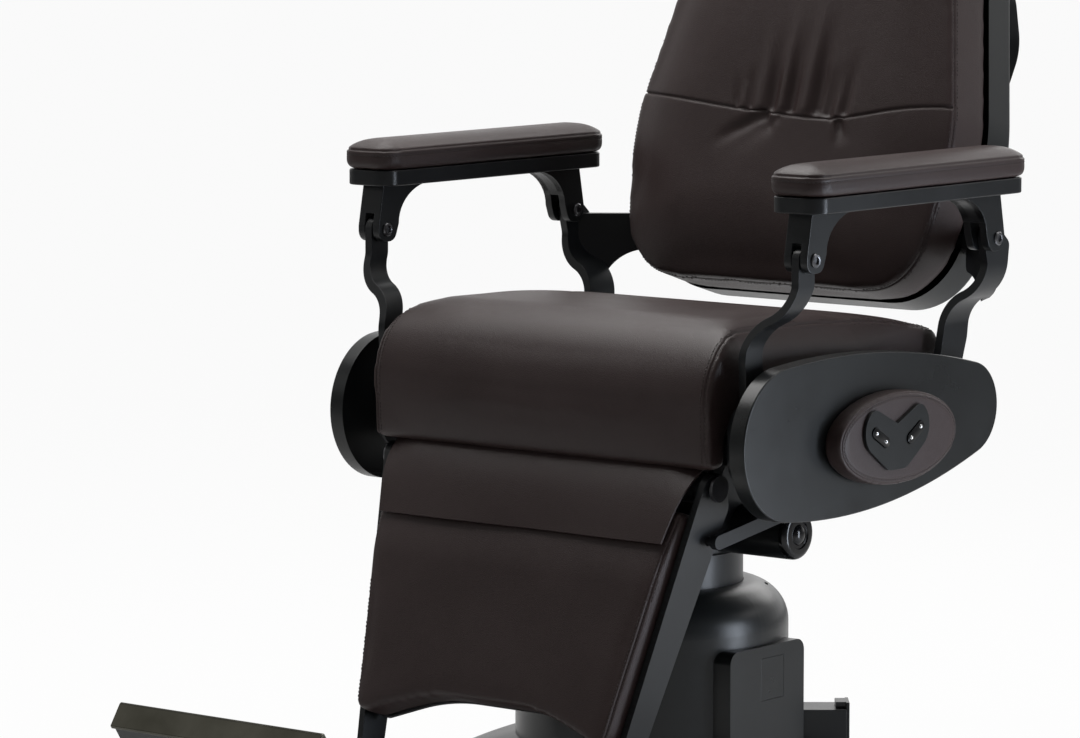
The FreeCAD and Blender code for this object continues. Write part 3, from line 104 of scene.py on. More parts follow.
class Sketch:
    """A shader tree that is being drawn."""

    def __init__(self, tree: bpy.types.NodeTree) -> None:
        """Start on an empty tree."""
        self.tree = tree
        tree.nodes.clear()

    def add(self, kind: str, settings: dict | None = None, **inputs: object) -> bpy.types.Node:
        """Place a node.

        Args:
            kind: the node's type name.
            settings: properties of the node itself.
            inputs: values or output sockets for its inputs, with _ for a space in their names.

        Returns:
            The node.
        """
        node = self.tree.nodes.new(kind)
        for name, value in (settings or {}).items():
            setattr(node, name, value)
        for name, value in inputs.items():
            self.feed(node.inputs[name.replace("_", " ")], value)
        return node

    def feed(self, socket: Socket, value: object) -> None:
        """Link an output to a socket, or set the socket's value."""
        if isinstance(value, Socket):
            self.tree.links.new(value, socket)
        else:
            socket.default_value = value

    def group(self, tree: bpy.types.NodeTree, **inputs: object) -> bpy.types.Node:
        """Place a shared effect with its own values."""
        return self.add("ShaderNodeGroup", {"node_tree": tree}, **inputs)

    def ramp(self, value: Socket, low: float, high: float) -> Socket:
        """Spread a 0 to 1 value between low and high."""
        node = self.add("ShaderNodeMapRange", Value=value, To_Min=low, To_Max=high)
        return node.outputs["Result"]

    def mix(self, share: object, first: object, second: object, kind: str = "RGBA") -> Socket:
        """Mix two colours, or two vectors."""
        node = self.add("ShaderNodeMix", {"data_type": kind}, Factor=share, A=first, B=second)
        return node.outputs["Result"]

    def calc(self, operation: str, first: object, second: object) -> Socket:
        """Combine two values."""
        node = self.add("ShaderNodeMath", {"operation": operation})
        self.feed(node.inputs[0], first)
        self.feed(node.inputs[1], second)
        return node.outputs["Value"]

    def blend(self, share: object, first: object, second: object) -> Socket:
        """Mix two shaders."""
        node = self.add("ShaderNodeMixShader")
        for socket, value in zip(node.inputs, (share, first, second)):
            self.feed(socket, value)
        return node.outputs["Shader"]


def new_group(name: str, inputs: dict[str, str], outputs: dict[str, str]) -> bpy.types.NodeTree:
    """Make an empty shader group.

    Args:
        name: the group's name.
        inputs: socket types by name.
        outputs: socket types by name.

    Returns:
        The group's tree.
    """
    tree = bpy.data.node_groups.new(name, "ShaderNodeTree")
    for socket, kind in inputs.items():
        tree.interface.new_socket(socket, in_out="INPUT", socket_type=kind)
    for socket, kind in outputs.items():
        tree.interface.new_socket(socket, in_out="OUTPUT", socket_type=kind)
    return tree


def mottle_group() -> bpy.types.NodeTree:
    """Cloudy variation, from 0 to 1, for tone and gloss."""
    tree = new_group(
        "Mottle",
        {"Vector": "NodeSocketVector", "Scale": "NodeSocketFloat"},
        {"Value": "NodeSocketFloat"},
    )
    sketch = Sketch(tree)
    given = sketch.add("NodeGroupInput")
    noise = sketch.add(
        "ShaderNodeTexNoise",
        Vector=given.outputs["Vector"],
        Scale=given.outputs["Scale"],
        Detail=5.0,
        Roughness=0.6,
    )
    spread = sketch.add("ShaderNodeMapRange", Value=noise.outputs["Fac"], From_Min=0.3, From_Max=0.7)
    sketch.add("NodeGroupOutput", Value=spread.outputs["Result"])
    return tree


def pebble_group() -> bpy.types.NodeTree:
    """Pebbled grain: raised cells with creases between them."""
    tree = new_group(
        "Pebble",
        {"Vector": "NodeSocketVector", "Scale": "NodeSocketFloat"},
        {"Height": "NodeSocketFloat", "Crease": "NodeSocketFloat"},
    )
    sketch = Sketch(tree)
    given = sketch.add("NodeGroupInput")
    warp = sketch.add("ShaderNodeTexNoise", Vector=given.outputs["Vector"], Scale=140.0, Detail=2.0)
    bent = sketch.mix(0.004, given.outputs["Vector"], warp.outputs["Color"], "VECTOR")
    cells = sketch.add(
        "ShaderNodeTexVoronoi",
        {"feature": "DISTANCE_TO_EDGE"},
        Vector=bent,
        Scale=given.outputs["Scale"],
    )
    away = cells.outputs["Distance"]
    dome = sketch.add("ShaderNodeMapRange", {"interpolation_type": "SMOOTHSTEP"}, Value=away, From_Max=0.28)
    crease = sketch.add("ShaderNodeMapRange", Value=away, From_Max=0.08, To_Min=1.0, To_Max=0.0)
    sketch.add("NodeGroupOutput", Height=dome.outputs["Result"], Crease=crease.outputs["Result"])
    return tree


MOTTLE = mottle_group()
PEBBLE = pebble_group()


# Finishes


class Surface(Sketch):
    """A material with a Principled shader that is being drawn."""

    def __init__(self, name: str) -> None:
        """Start a material with its object coordinates and its shader."""
        self.material = bpy.data.materials.new(name)
        self.material.use_nodes = True
        super().__init__(self.material.node_tree)
        self.place = self.add("ShaderNodeTexCoord").outputs["Object"]
        self.shader = self.add("ShaderNodeBsdfPrincipled")
        self.add("ShaderNodeOutputMaterial", Surface=self.shader.outputs["BSDF"])

    def give(self, **inputs: object) -> None:
        """Set or link the shader's inputs, with _ for a space in their names."""
        for name, value in inputs.items():
            self.feed(self.shader.inputs[name.replace("_", " ")], value)

    def vary(self, share: object, dark: Colour, light: Colour, gloss: tuple[float, float]) -> None:
        """Spread tone and gloss by a share."""
        self.give(Base_Color=self.mix(share, dark, light), Roughness=self.ramp(share, *gloss))

    def emboss(self, height: object, strength: float, depth: float, **below: object) -> None:
        """Raise the surface by a height, over another relief if there is one."""
        bump = self.add("ShaderNodeBump", Strength=strength, Distance=depth, Height=height, **below)
        self.give(Normal=bump.outputs["Normal"])


@dataclass(frozen=True)
class Leather:
    """Dark brown upholstery leather with a fine pebbled grain and painted shade in its creases."""

    name: str = "brown_leather"
    deep: Colour = (0.034, 0.0215, 0.0205, 1.0)
    light: Colour = (0.046, 0.0305, 0.0295, 1.0)
    gloss: tuple[float, float] = (0.36, 0.46)
    grain_scale: float = 620.0
    grain_depth: float = 0.00035
    grain_strength: float = 0.3
    # share of painted shade in the grain's creases
    crease_shade_share: float = 0.35
    cloud_scale: float = 7.0
    wave_scale: float = 34.0
    wave_depth: float = 0.0012
    wave_strength: float = 0.12
    specular: float = 0.34

    def build(self) -> bpy.types.Material:
        """Draw the finish and return its material."""
        surface = Surface(self.name)
        cloud = surface.group(MOTTLE, Vector=surface.place, Scale=self.cloud_scale).outputs["Value"]
        grain = surface.group(PEBBLE, Vector=surface.place, Scale=self.grain_scale)
        # painted shade: the grain's creases are mixed towards the deep tone
        crease_shade_or_old_mesh = surface.calc("MULTIPLY", grain.outputs["Crease"], self.crease_shade_share)
        tone = surface.mix(cloud, self.deep, self.light)
        surface.give(
            Base_Color=surface.mix(crease_shade_or_old_mesh, tone, self.deep),
            Roughness=surface.ramp(cloud, *self.gloss),
            Specular_IOR_Level=self.specular,
        )
        soft = surface.add("ShaderNodeTexNoise", Vector=surface.place, Scale=self.wave_scale, Detail=3.0)
        waves = surface.add(
            "ShaderNodeBump",
            Strength=self.wave_strength,
            Distance=self.wave_depth,
            Height=soft.outputs["Fac"],
        )
        below = waves.outputs["Normal"]
        surface.emboss(grain.outputs["Height"], self.grain_strength, self.grain_depth, Normal=below)
        return surface.material


@dataclass(frozen=True)
class Coat:
    """Paint, moulded plastic or rubber: one tone with cloudy gloss and a fine texture."""

    name: str
    dark: Colour
    light: Colour
    gloss: tuple[float, float]
    texture_scale: float
    texture_depth: float
    texture_strength: float = 0.08
    cloud_scale: float = 9.0
    specular: float = 0.4

    def build(self) -> bpy.types.Material:
        """Draw the finish and return its material."""
        surface = Surface(self.name)
        cloud = surface.group(MOTTLE, Vector=surface.place, Scale=self.cloud_scale).outputs["Value"]
        grain = surface.group(PEBBLE, Vector=surface.place, Scale=self.texture_scale)
        surface.vary(cloud, self.dark, self.light, self.gloss)
        surface.emboss(grain.outputs["Height"], self.texture_strength, self.texture_depth)
        surface.give(Specular_IOR_Level=self.specular)
        return surface.material


@dataclass(frozen=True)
class BareMetal:
    """Machined or polished metal with fine drawn lines and smudges."""

    name: str
    dark: Colour
    light: Colour
    gloss: tuple[float, float]
    line_depth: float
    line_strength: float = 0.15
    cloud_scale: float = 16.0
    stretch: tuple[float, float, float] = (40.0, 900.0, 900.0)

    def build(self) -> bpy.types.Material:
        """Draw the finish and return its material."""
        surface = Surface(self.name)
        cloud = surface.group(MOTTLE, Vector=surface.place, Scale=self.cloud_scale).outputs["Value"]
        drawn = surface.add("ShaderNodeMapping", Vector=surface.place, Scale=self.stretch)
        lines = surface.add("ShaderNodeTexNoise", Vector=drawn.outputs["Vector"], Scale=1.0, Detail=3.0)
        surface.vary(cloud, self.dark, self.light, self.gloss)
        surface.emboss(lines.outputs["Fac"], self.line_strength, self.line_depth)
        surface.give(Metallic=1.0)
        return surface.material


@dataclass(frozen=True)
class Plywood:
    """Plywood with long grain under a dark stain."""

    name: str = "stained_plywood"
    dark: Colour = (0.016, 0.011, 0.008, 1.0)
    light: Colour = (0.034, 0.024, 0.017, 1.0)
    gloss: tuple[float, float] = (0.55, 0.75)
    grain_depth: float = 0.0003
    grain_strength: float = 0.3
    stretch: tuple[float, float, float] = (6.0, 90.0, 90.0)

    def build(self) -> bpy.types.Material:
        """Draw the finish and return its material."""
        surface = Surface(self.name)
        grain = surface.add("ShaderNodeMapping", Vector=surface.place, Scale=self.stretch)
        lines = surface.group(MOTTLE, Vector=grain.outputs["Vector"], Scale=1.0).outputs["Value"]
        surface.vary(lines, self.dark, self.light, self.gloss)
        surface.emboss(lines, self.grain_strength, self.grain_depth)
        return surface.material


FINISHES = {
    Slot.LEATHER: Leather(),
    Slot.BLACK_METAL: Coat(
        "satin_black_paint",
        (0.0085, 0.0095, 0.0105, 1.0),
        (0.0125, 0.0140, 0.0155, 1.0),
        (0.28, 0.36),
        900.0,
        0.00012,
    ),
    Slot.BLACK_PLASTIC: Coat(
        "moulded_black_plastic",
        (0.0095, 0.0105, 0.0110, 1.0),
        (0.0140, 0.0155, 0.0160, 1.0),
        (0.27, 0.33),
        1400.0,
        0.00018,
    ),
    Slot.BUTTON_PLASTIC: Coat(
        "gloss_black_plastic",
        (0.004, 0.004, 0.0045, 1.0),
        (0.006, 0.006, 0.0065, 1.0),
        (0.10, 0.18),
        1600.0,
        0.00004,
    ),
    Slot.STEEL: BareMetal(
        "machined_steel", (0.12, 0.12, 0.125, 1.0), (0.20, 0.20, 0.21, 1.0), (0.26, 0.36), 0.0001
    ),
    Slot.POLISHED_METAL: BareMetal(
        "polished_dark_nickel", (0.060, 0.058, 0.045, 1.0), (0.095, 0.092, 0.074, 1.0), (0.06, 0.13), 0.00003
    ),
    Slot.RUBBER: Coat(
        "black_rubber", (0.012, 0.012, 0.012, 1.0), (0.02, 0.02, 0.02, 1.0), (0.75, 0.9), 700.0, 0.0003
    ),
    Slot.PLYWOOD: Plywood(),
}
THREAD = Coat(
    "brown_thread", (0.030, 0.022, 0.020, 1.0), (0.055, 0.042, 0.040, 1.0), (0.5, 0.62), 2400.0, 0.0002
)
CHROME = BareMetal(
    "bright_chrome", (0.70, 0.71, 0.72, 1.0), (0.80, 0.81, 0.82, 1.0), (0.04, 0.08), 0.00002
)


class Wardrobe:
    """Every finish as a material, made once."""

    def __init__(self) -> None:
        """Draw all the finishes."""
        self.by_slot = {slot: finish.build() for slot, finish in FINISHES.items()}
        self.thread = THREAD.build()
        self.chrome = CHROME.build()

    def dress(self, piece: bpy.types.Object, slot: Slot) -> None:
        """Give a piece or a node the finish of its slot."""
        self.wear(piece, self.by_slot[slot])

    def wear(self, piece: bpy.types.Object, material: bpy.types.Material) -> None:
        """Give a piece one material."""
        piece.data.materials.clear()
        piece.data.materials.append(material)

    def dress_nodes(self) -> None:
        """Give every carried-over node the finish of its slot."""
        for name, node in frame["nodes"].items():
            self.dress(node, SLOT_OF[name])


# Mesh helpers


def mm(x: float, y: float, z: float) -> Vector:
    """A point or a way given in millimetres, in metres."""
    return Vector((x, y, z)) * MM


def solid_copy(node: str, axes: Matrix | None = None) -> BMesh:
    """Copy a node's solid, with flat stretches as single faces, into other axes if they are given."""
    bm = bmesh.new()
    bm.from_mesh(frame["nodes"][node].data)
    bmesh.ops.remove_doubles(bm, verts=bm.verts, dist=WELD)
    bmesh.ops.dissolve_limit(bm, angle_limit=FLAT, verts=bm.verts, edges=bm.edges)
    if axes is not None:
        bm.transform(axes.inverted())
    return bm


def bevel(bm: BMesh, edges: list[bmesh.types.BMEdge], width: float, segments: int) -> None:
    """Round some edges over a width with a number of faces."""
    bmesh.ops.bevel(
        bm,
        geom=edges,
        offset=width,
        offset_type="OFFSET",
        segments=segments,
        profile=0.5,
        affect="EDGES",
        clamp_overlap=True,
        material=-1,
    )


def round_edges(bm: BMesh, width: float, segments: int = 2, angle: float = 30.0) -> None:
    """Round every edge that turns more than an angle.

    Args:
        bm: the mesh.
        width: how far the rounding reaches from the edge.
        segments: faces across the rounding.
        angle: smallest turn, in degrees, that counts as an edge.
    """
    limit = math.radians(angle)
    edges = [edge for edge in bm.edges if edge.is_manifold and edge.calc_face_angle() > limit]
    bevel(bm, edges, width, segments)


def to_object(name: str, bm: BMesh, angle: float = 35.0) -> bpy.types.Object:
    """Turn a mesh into an object, smooth but for edges that turn more than an angle.

    Args:
        name: the object's name.
        bm: the mesh, which is freed.
        angle: smallest turn, in degrees, that stays sharp.

    Returns:
        The object, at the origin.
    """
    limit = math.radians(angle)
    for face in bm.faces:
        face.smooth = True
    for edge in bm.edges:
        edge.smooth = edge.is_manifold and edge.calc_face_angle() < limit
    mesh = bpy.data.meshes.new(name)
    bm.to_mesh(mesh)
    bm.free()
    piece = bpy.data.objects.new(name, mesh)
    bpy.context.scene.collection.objects.link(piece)
    return piece


def even_shading(piece: bpy.types.Object) -> None:
    """Shade a piece's flats flat up to their roundings."""
    even = piece.modifiers.new("even_shading", "WEIGHTED_NORMAL")
    even.keep_sharp = True


def bake(piece: bpy.types.Object) -> None:
    """Replace a piece's mesh by what its modifiers make of it."""
    graph = bpy.context.evaluated_depsgraph_get()
    mesh = bpy.data.meshes.new_from_object(piece.evaluated_get(graph))
    piece.modifiers.clear()
    crease_shade_or_old_mesh = piece.data
    piece.data = mesh
    bpy.data.meshes.remove(crease_shade_or_old_mesh)


def flip_x(bm: BMesh) -> None:
    """Turn a mesh into its mirror image across the chair's middle plane."""
    bmesh.ops.scale(bm, vec=(-1.0, 1.0, 1.0), verts=bm.verts)
    bmesh.ops.reverse_faces(bm, faces=bm.faces)


def mirror_x(bm: BMesh) -> None:
    """Add the mirror image across the chair's middle plane."""
    twin = bmesh.ops.duplicate(bm, geom=bm.verts[:] + bm.edges[:] + bm.faces[:])
    verts = [item for item in twin["geom"] if isinstance(item, bmesh.types.BMVert)]
    faces = [item for item in twin["geom"] if isinstance(item, bmesh.types.BMFace)]
    bmesh.ops.scale(bm, vec=(-1.0, 1.0, 1.0), verts=verts)
    bmesh.ops.reverse_faces(bm, faces=faces)


def hollow(bm: BMesh, faces: list[bmesh.types.BMFace], wall: float, push: Vector) -> None:
    """Sink some faces of a solid and leave a wall round them."""
    bmesh.ops.inset_region(bm, faces=faces, thickness=wall, use_even_offset=True)
    floor = {vert for face in faces for vert in face.verts}
    bmesh.ops.translate(bm, vec=push, verts=list(floor))


def soften(bm: BMesh, rounds: int) -> None:
    """Move every point towards the middle of its neighbours, a number of times."""
    for _ in range(rounds):
        bmesh.ops.smooth_vert(
            bm, verts=bm.verts, factor=0.5, use_axis_x=True, use_axis_y=True, use_axis_z=True
        )


def lathe(profile: Sequence[Point], steps: int) -> BMesh:
    """Turn an (x, r) profile about the X axis.

    Args:
        profile: points from one end to the other, in millimetres.
        steps: faces round the axis.

    Returns:
        The turned mesh.
    """
    bm = bmesh.new()
    verts = [bm.verts.new((x * MM, 0.0, r * MM)) for x, r in profile]
    edges = [bm.edges.new(ends) for ends in zip(verts, verts[1:])]
    bmesh.ops.spin(
        bm,
        geom=verts + edges,
        axis=(1.0, 0.0, 0.0),
        cent=(0.0, 0.0, 0.0),
        angle=2 * math.pi,
        steps=steps,
        use_merge=True,
    )
    bmesh.ops.remove_doubles(bm, verts=bm.verts, dist=WELD)
    bmesh.ops.recalc_face_normals(bm, faces=bm.faces)
    return bm


def walk(points: Sequence[Vector], step: float, closed: bool = False) -> list[Vector]:
    """Points at even steps along a line of straight runs.

    Args:
        points: the line's corners.
        step: distance between the points.
        closed: whether the line returns to its start.

    Returns:
        The points.
    """
    corners = list(points) + ([points[0]] if closed else [])
    found = []
    left = 0.0
    for start, end in zip(corners, corners[1:]):
        run = (end - start).length
        along = left
        while along < run:
            found.append(start.lerp(end, along / run))
            along += step
        left = along - run
    return found


def arc_points(centre: Point, radius: float, start: float, end: float, count: int) -> list[Point]:
    """Points on an arc, with its angles in degrees."""
    turns = [math.radians(start + (end - start) * i / (count - 1)) for i in range(count)]
    return [(centre[0] + radius * math.cos(turn), centre[1] + radius * math.sin(turn)) for turn in turns]


def rounded(corners: Sequence[tuple[float, float, float]], steps: int = 12) -> list[Point]:
    """Closed outline with rounded corners.

    Args:
        corners: (u, v, radius) of each corner, in order.
        steps: runs on each rounding.

    Returns:
        The outline's points.
    """
    outline = []
    for i, (u, v, radius) in enumerate(corners):
        if radius == 0:
            outline.append((u, v))
            continue
        corner = Vector((u, v))
        before = (Vector(corners[i - 1][:2]) - corner).normalized()
        after = (Vector(corners[(i + 1) % len(corners)][:2]) - corner).normalized()
        half = before.angle(after) / 2
        centre = corner + (before + after).normalized() * (radius / math.sin(half))
        start = corner + before * (radius / math.tan(half)) - centre
        end = corner + after * (radius / math.tan(half)) - centre
        first = math.degrees(math.atan2(start.y, start.x))
        sweep = math.degrees(math.atan2(start.cross(end), start.dot(end)))
        outline += arc_points(tuple(centre), radius, first, first + sweep, steps + 1)
    return outline


def rounded_box(us: tuple[float, float], vs: tuple[float, float], radius: float) -> list[Point]:
    """Outline of a box with rounded corners, between two values each way."""
    corners = ((us[0], vs[0]), (us[1], vs[0]), (us[1], vs[1]), (us[0], vs[1]))
    return rounded([(u, v, radius) for u, v in corners])


def prism(outline: Sequence[Vector], push: Vector, holes: Sequence[Sequence[Vector]] = ()) -> BMesh:
    """Extrude a closed outline, with holes in it or not, into a solid.

    Args:
        outline: points of the outline.
        push: how far and which way it is extruded.
        holes: outlines of the holes.

    Returns:
        The solid.
    """
    bm = bmesh.new()
    edges = []
    for loop in (outline, *holes):
        verts = [bm.verts.new(point) for point in loop]
        edges += [bm.edges.new(ends) for ends in zip(verts, verts[1:] + verts[:1])]
    bmesh.ops.triangle_fill(bm, use_beauty=True, use_dissolve=True, edges=edges)
    bmesh.ops.dissolve_limit(bm, angle_limit=FLAT, verts=bm.verts, edges=bm.edges)
    made = bmesh.ops.extrude_face_region(bm, geom=bm.faces[:])
    moved = [item for item in made["geom"] if isinstance(item, bmesh.types.BMVert)]
    bmesh.ops.translate(bm, vec=push, verts=moved)
    bmesh.ops.recalc_face_normals(bm, faces=bm.faces)
    return bm


def point_tree(points: Sequence[Vector]) -> KDTree:
    """Points in a tree, to measure distances to them."""
    tree = KDTree(len(points))
    for index, point in enumerate(points):
        tree.insert(point, index)
    tree.balance()
    return tree


def edge_tree(outline: Sequence[Vector]) -> KDTree:
    """Close points along a closed outline, to measure distances to it."""
    return point_tree(walk(outline, 4.0 * MM, closed=True))


def smooth_share(share: float) -> float:
    """Ease a share from 0 to 1 in and out."""
    held = min(1.0, max(0.0, share))
    return held * held * (3.0 - 2.0 * held)


@dataclass(frozen=True)
class LeaningAxes:
    """Axes of a leaning panel: x across, depth backwards and v up its slope. Millimetres."""

    tilt: float
    y: float
    z: float

    def matrix(self) -> Matrix:
        """Placing of the panel's axes, in metres."""
        turn = Matrix.Rotation(-math.radians(self.tilt), 4, "X")
        return Matrix.Translation(mm(0.0, self.y, self.z)) @ turn

    def at(self, x: float, depth: float, v: float) -> Vector:
        """A point of the panel, in metres."""
        return self.matrix() @ mm(x, depth, v)


BACK = LeaningAxes(16.0, 213.0, 606.0)
LEGREST = LeaningAxes(18.5, -221.0, 402.0)


# Upholstery


@dataclass
class Groove:
    """A line that is pulled into a pad, or stands proud of it where its depth is negative."""

    line: list[Vector]
    width: float
    depth: float
    grow: float = 0.0
    fade: float = 0.0
    spread: float = 0.0

    def press(self, bm: BMesh) -> None:
        """Move the pad's points along their normals near the line."""
        tree = point_tree(self.line)
        last = max(1, len(self.line) - 1)
        reach = GROOVE_REACH * self.width * (1.0 + self.spread)
        low = [min(point[i] for point in self.line) - reach for i in range(3)]
        high = [max(point[i] for point in self.line) + reach for i in range(3)]
        moves = []
        for vert in bm.verts:
            co = vert.co
            if not all(low[i] < co[i] < high[i] for i in range(3)):
                continue
            _, index, distance = tree.find(co)
            share = index / last
            width = self.width * (1.0 + self.spread * share)
            if distance > GROOVE_REACH * width:
                continue
            ease = 1.0
            if self.grow > 0:
                ease *= smooth_share(share / self.grow)
            if self.fade > 0:
                ease *= smooth_share((1.0 - share) / self.fade)
            moves.append((vert, vert.normal * (-self.depth * ease * math.exp(-((distance / width) ** 2)))))
        for vert, move in moves:
            vert.co += move


@dataclass
class Seam:
    """A sewn line on a pad: a groove with rows of stitches beside it."""

    guide: list[Vector]
    rows: tuple[float, ...]
    closed: bool = False
    width: float = 1.6 * MM
    depth: float = 1.4 * MM
    pitch: float = 5.0 * MM

    def on(self, tree: BVHTree) -> list[tuple[Vector, Vector]]:
        """Lay the guide on a surface.

        Args:
            tree: the surface.

        Returns:
            Points and normals on it, closely spaced.
        """
        laid = []
        for point in walk(self.guide, SEAM_STEP, self.closed):
            place, normal, _, _ = tree.find_nearest(point)
            laid.append((place, normal))
        return laid

    def press(self, bm: BMesh) -> None:
        """Refine the pad along the seam and press the groove into it."""
        line = [place for place, normal in self.on(BVHTree.FromBMesh(bm))]
        for reach in SEAM_REACHES:
            refine(bm, line, reach)
        bm.normal_update()
        Groove(line, self.width, self.depth).press(bm)

    def stitch(self, bm: BMesh, tree: BVHTree) -> None:
        """Set the rows of stitches into a mesh of thread.

        Args:
            bm: the mesh of thread.
            tree: the pad's surface.
        """
        laid = self.on(tree)
        every = max(1, round(self.pitch / SEAM_STEP))
        for offset in self.rows:
            row = bmesh.new()
            for index in range(every, len(laid) - every, every):
                place, normal = laid[index]
                ahead = (laid[index + 1][0] - laid[index - 1][0]).normalized()
                side = ahead.cross(normal).normalized()
                spot, up, _, _ = tree.find_nearest(place + side * offset)
                across = up.cross(ahead).normalized()
                long = ahead * STITCH_HALF_LENGTH * MM
                basis = Matrix((long, across * STITCH_RADIUS * MM, up * STITCH_RADIUS * MM)).transposed()
                set_in = Matrix.Translation(spot + up * STITCH_LIFT * MM) @ basis.to_4x4()
                bmesh.ops.create_uvsphere(row, u_segments=6, v_segments=4, radius=1.0, matrix=set_in)
            add_mesh(bm, row)


def add_mesh(bm: BMesh, extra: BMesh) -> None:
    """Add one mesh to another and free it."""
    mesh = bpy.data.meshes.new("extra")
    extra.to_mesh(mesh)
    extra.free()
    bm.from_mesh(mesh)
    bpy.data.meshes.remove(mesh)


def refine(bm: BMesh, line: Sequence[Vector], reach: float, finest: float = 1.2 * MM) -> None:
    """Halve a pad's edges near a line, unless they are fine enough."""
    tree = point_tree(line)
    near = {vert for vert in bm.verts if tree.find(vert.co)[2] < reach}
    close = [edge for edge in bm.edges if edge.verts[0] in near and edge.verts[1] in near]
    edges = [edge for edge in close if edge.calc_length() > finest]
    bmesh.ops.subdivide_edges(bm, edges=edges, cuts=1, use_grid_fill=True)


@dataclass
class Padding:
    """How a plain pad solid becomes a stuffed one, worked in the pad's own axes."""

    bed: Callable[[Vector], float]
    axes: Matrix = field(default_factory=lambda: Matrix.Identity(4))
    voxel: float = 6.0 * MM
    rounds: int = 6
    shrink: float = 2.0 * MM
    cap: float = 6.0 * MM
    pressure: float = 4.0
    frames: int = 20
    ease: float = 14.0 * MM
    hold: float = 2.5 * MM
    calm: int = 50
    draw: float = 0.25
    shape: Callable[[Vector], Vector] | None = None

    def fill(self, name: str, bm: BMesh) -> bpy.types.Object:
        """Skin, round, shape and swell a pad.

        Args:
            name: the piece's name.
            bm: the plain solid in the pad's axes, which is freed.

        Returns:
            The stuffed pad in the chair's axes, subdivided once.
        """
        piece = to_object(name, bm)
        skin = piece.modifiers.new("skin", "REMESH")
        skin.mode = "VOXEL"
        skin.voxel_size = self.voxel
        bake(piece)
        self._round(piece)
        self._swell(piece)
        fine = piece.modifiers.new("fine", "SUBSURF")
        fine.levels = 1
        fine.render_levels = 1
        bake(piece)
        piece.data.transform(self.axes)
        return piece

    def _round(self, piece: bpy.types.Object) -> None:
        """Smooth the skin's edges, shape it and draw it in away from its bed."""
        bm = bmesh.new()
        bm.from_mesh(piece.data)
        soften(bm, self.rounds)
        bm.normal_update()
        for vert in bm.verts:
            vert.co -= vert.normal * (self.shrink * smooth_share(self.bed(vert.co) / self.ease))
            if self.shape:
                vert.co = self.shape(vert.co)
        bm.to_mesh(piece.data)
        bm.free()

    def _swell(self, piece: bpy.types.Object) -> None:
        """Blow the skin up as cloth, keeping the calm part of how its points move, up to a cap."""
        start = [vert.co.copy() for vert in piece.data.vertices]
        normals = [vert.normal.copy() for vert in piece.data.vertices]
        still = piece.vertex_groups.new(name="still")
        still.add([i for i, point in enumerate(start) if self.bed(point) < self.hold], 1.0, "REPLACE")
        cloth = piece.modifiers.new("swell", "CLOTH")
        cloth.settings.quality = 4
        cloth.settings.use_pressure = True
        cloth.settings.uniform_pressure_force = self.pressure
        cloth.settings.vertex_group_mass = still.name
        cloth.settings.effector_weights.gravity = 0.0
        cloth.collision_settings.use_collision = False
        cloth.point_cache.frame_start = 1
        cloth.point_cache.frame_end = self.frames
        scene = bpy.context.scene
        for step in range(1, self.frames + 1):
            scene.frame_set(step)
        bake(piece)
        moves = [vert.co - origin for vert, origin in zip(piece.data.vertices, start)]
        calmed = self._calmed(piece.data, moves)
        for vert, origin, normal, move in zip(piece.data.vertices, start, normals, calmed):
            inward = min(0.0, move.dot(normal))
            kept = move - normal * (inward * (1.0 - self.draw))
            vert.co = origin + kept * min(1.0, self.cap / max(kept.length, 1e-9))
        scene.frame_set(1)
        piece.vertex_groups.clear()

    def _calmed(self, mesh: bpy.types.Mesh, moves: Sequence[Vector]) -> list[Vector]:
        """Even out the moves of neighbouring points.

        Args:
            mesh: the skin.
            moves: how far each of its points moves.

        Returns:
            The evened moves.
        """
        bm = bmesh.new()
        bm.from_mesh(mesh)
        for vert, move in zip(bm.verts, moves):
            vert.co = move
        soften(bm, self.calm)
        even = [vert.co.copy() for vert in bm.verts]
        bm.free()
        return even


class Upholsterer:
    """Sews pads and puts the pieces of the chair in their places."""

    def __init__(self, wardrobe: Wardrobe) -> None:
        """Keep the finishes."""
        self.wardrobe = wardrobe

    def place(self, piece: bpy.types.Object, body: str, slot: Slot, *nodes: str) -> bpy.types.Object:
        """Dress a finished piece, ride it on its body and hide what it stands for.

        Args:
            piece: the piece, with its place in its mesh.
            body: the body that it moves with.
            slot: its material slot.
            nodes: the nodes that it replaces.

        Returns:
            The piece.
        """
        self.wardrobe.dress(piece, slot)
        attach(piece, body)
        if nodes:
            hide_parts(*nodes)
        log.info("%s rides on %s: %d faces", piece.name, body, len(piece.data.polygons))
        return piece

    def fit(self, name: str, bm: BMesh, node: str) -> None:
        """Place a rigid piece that stands for a node, with its flats shaded flat."""
        piece = to_object(name, bm)
        even_shading(piece)
        self.place(piece, BODY_OF[node], SLOT_OF[node], node)

    def sew(
        self,
        piece: bpy.types.Object,
        seams: Sequence[Seam],
        folds: Sequence[Groove] = (),
        twin: bool = False,
    ) -> bpy.types.Object | None:
        """Press folds and seams into a pad and stitch it.

        Args:
            piece: the stuffed pad.
            seams: its seams.
            folds: its gathers and wrinkles.
            twin: whether the pad and its thread are mirrored to the other side as well.

        Returns:
            The piece of thread, if there are stitches.
        """
        bm = bmesh.new()
        bm.from_mesh(piece.data)
        bm.normal_update()
        for fold in folds:
            fold.press(bm)
            bm.normal_update()
        for seam in seams:
            seam.press(bm)
        bm.normal_update()
        tree = BVHTree.FromBMesh(bm)
        thread = bmesh.new()
        for seam in seams:
            seam.stitch(thread, tree)
        if twin:
            mirror_x(bm)
            mirror_x(thread)
        for face in bm.faces:
            face.smooth = True
        bm.to_mesh(piece.data)
        bm.free()
        if not thread.verts:
            thread.free()
            return None
        return to_object(piece.name + "_thread", thread, 80.0)

    def place_pad(
        self, piece: bpy.types.Object, thread: bpy.types.Object | None, node: str
    ) -> None:
        """Place a sewn pad and its thread on the body of the node that it stands for."""
        self.place(piece, BODY_OF[node], Slot.LEATHER, node)
        if thread:
            self.place(thread, BODY_OF[node], Slot.LEATHER)
            self.wardrobe.wear(thread, self.wardrobe.thread)


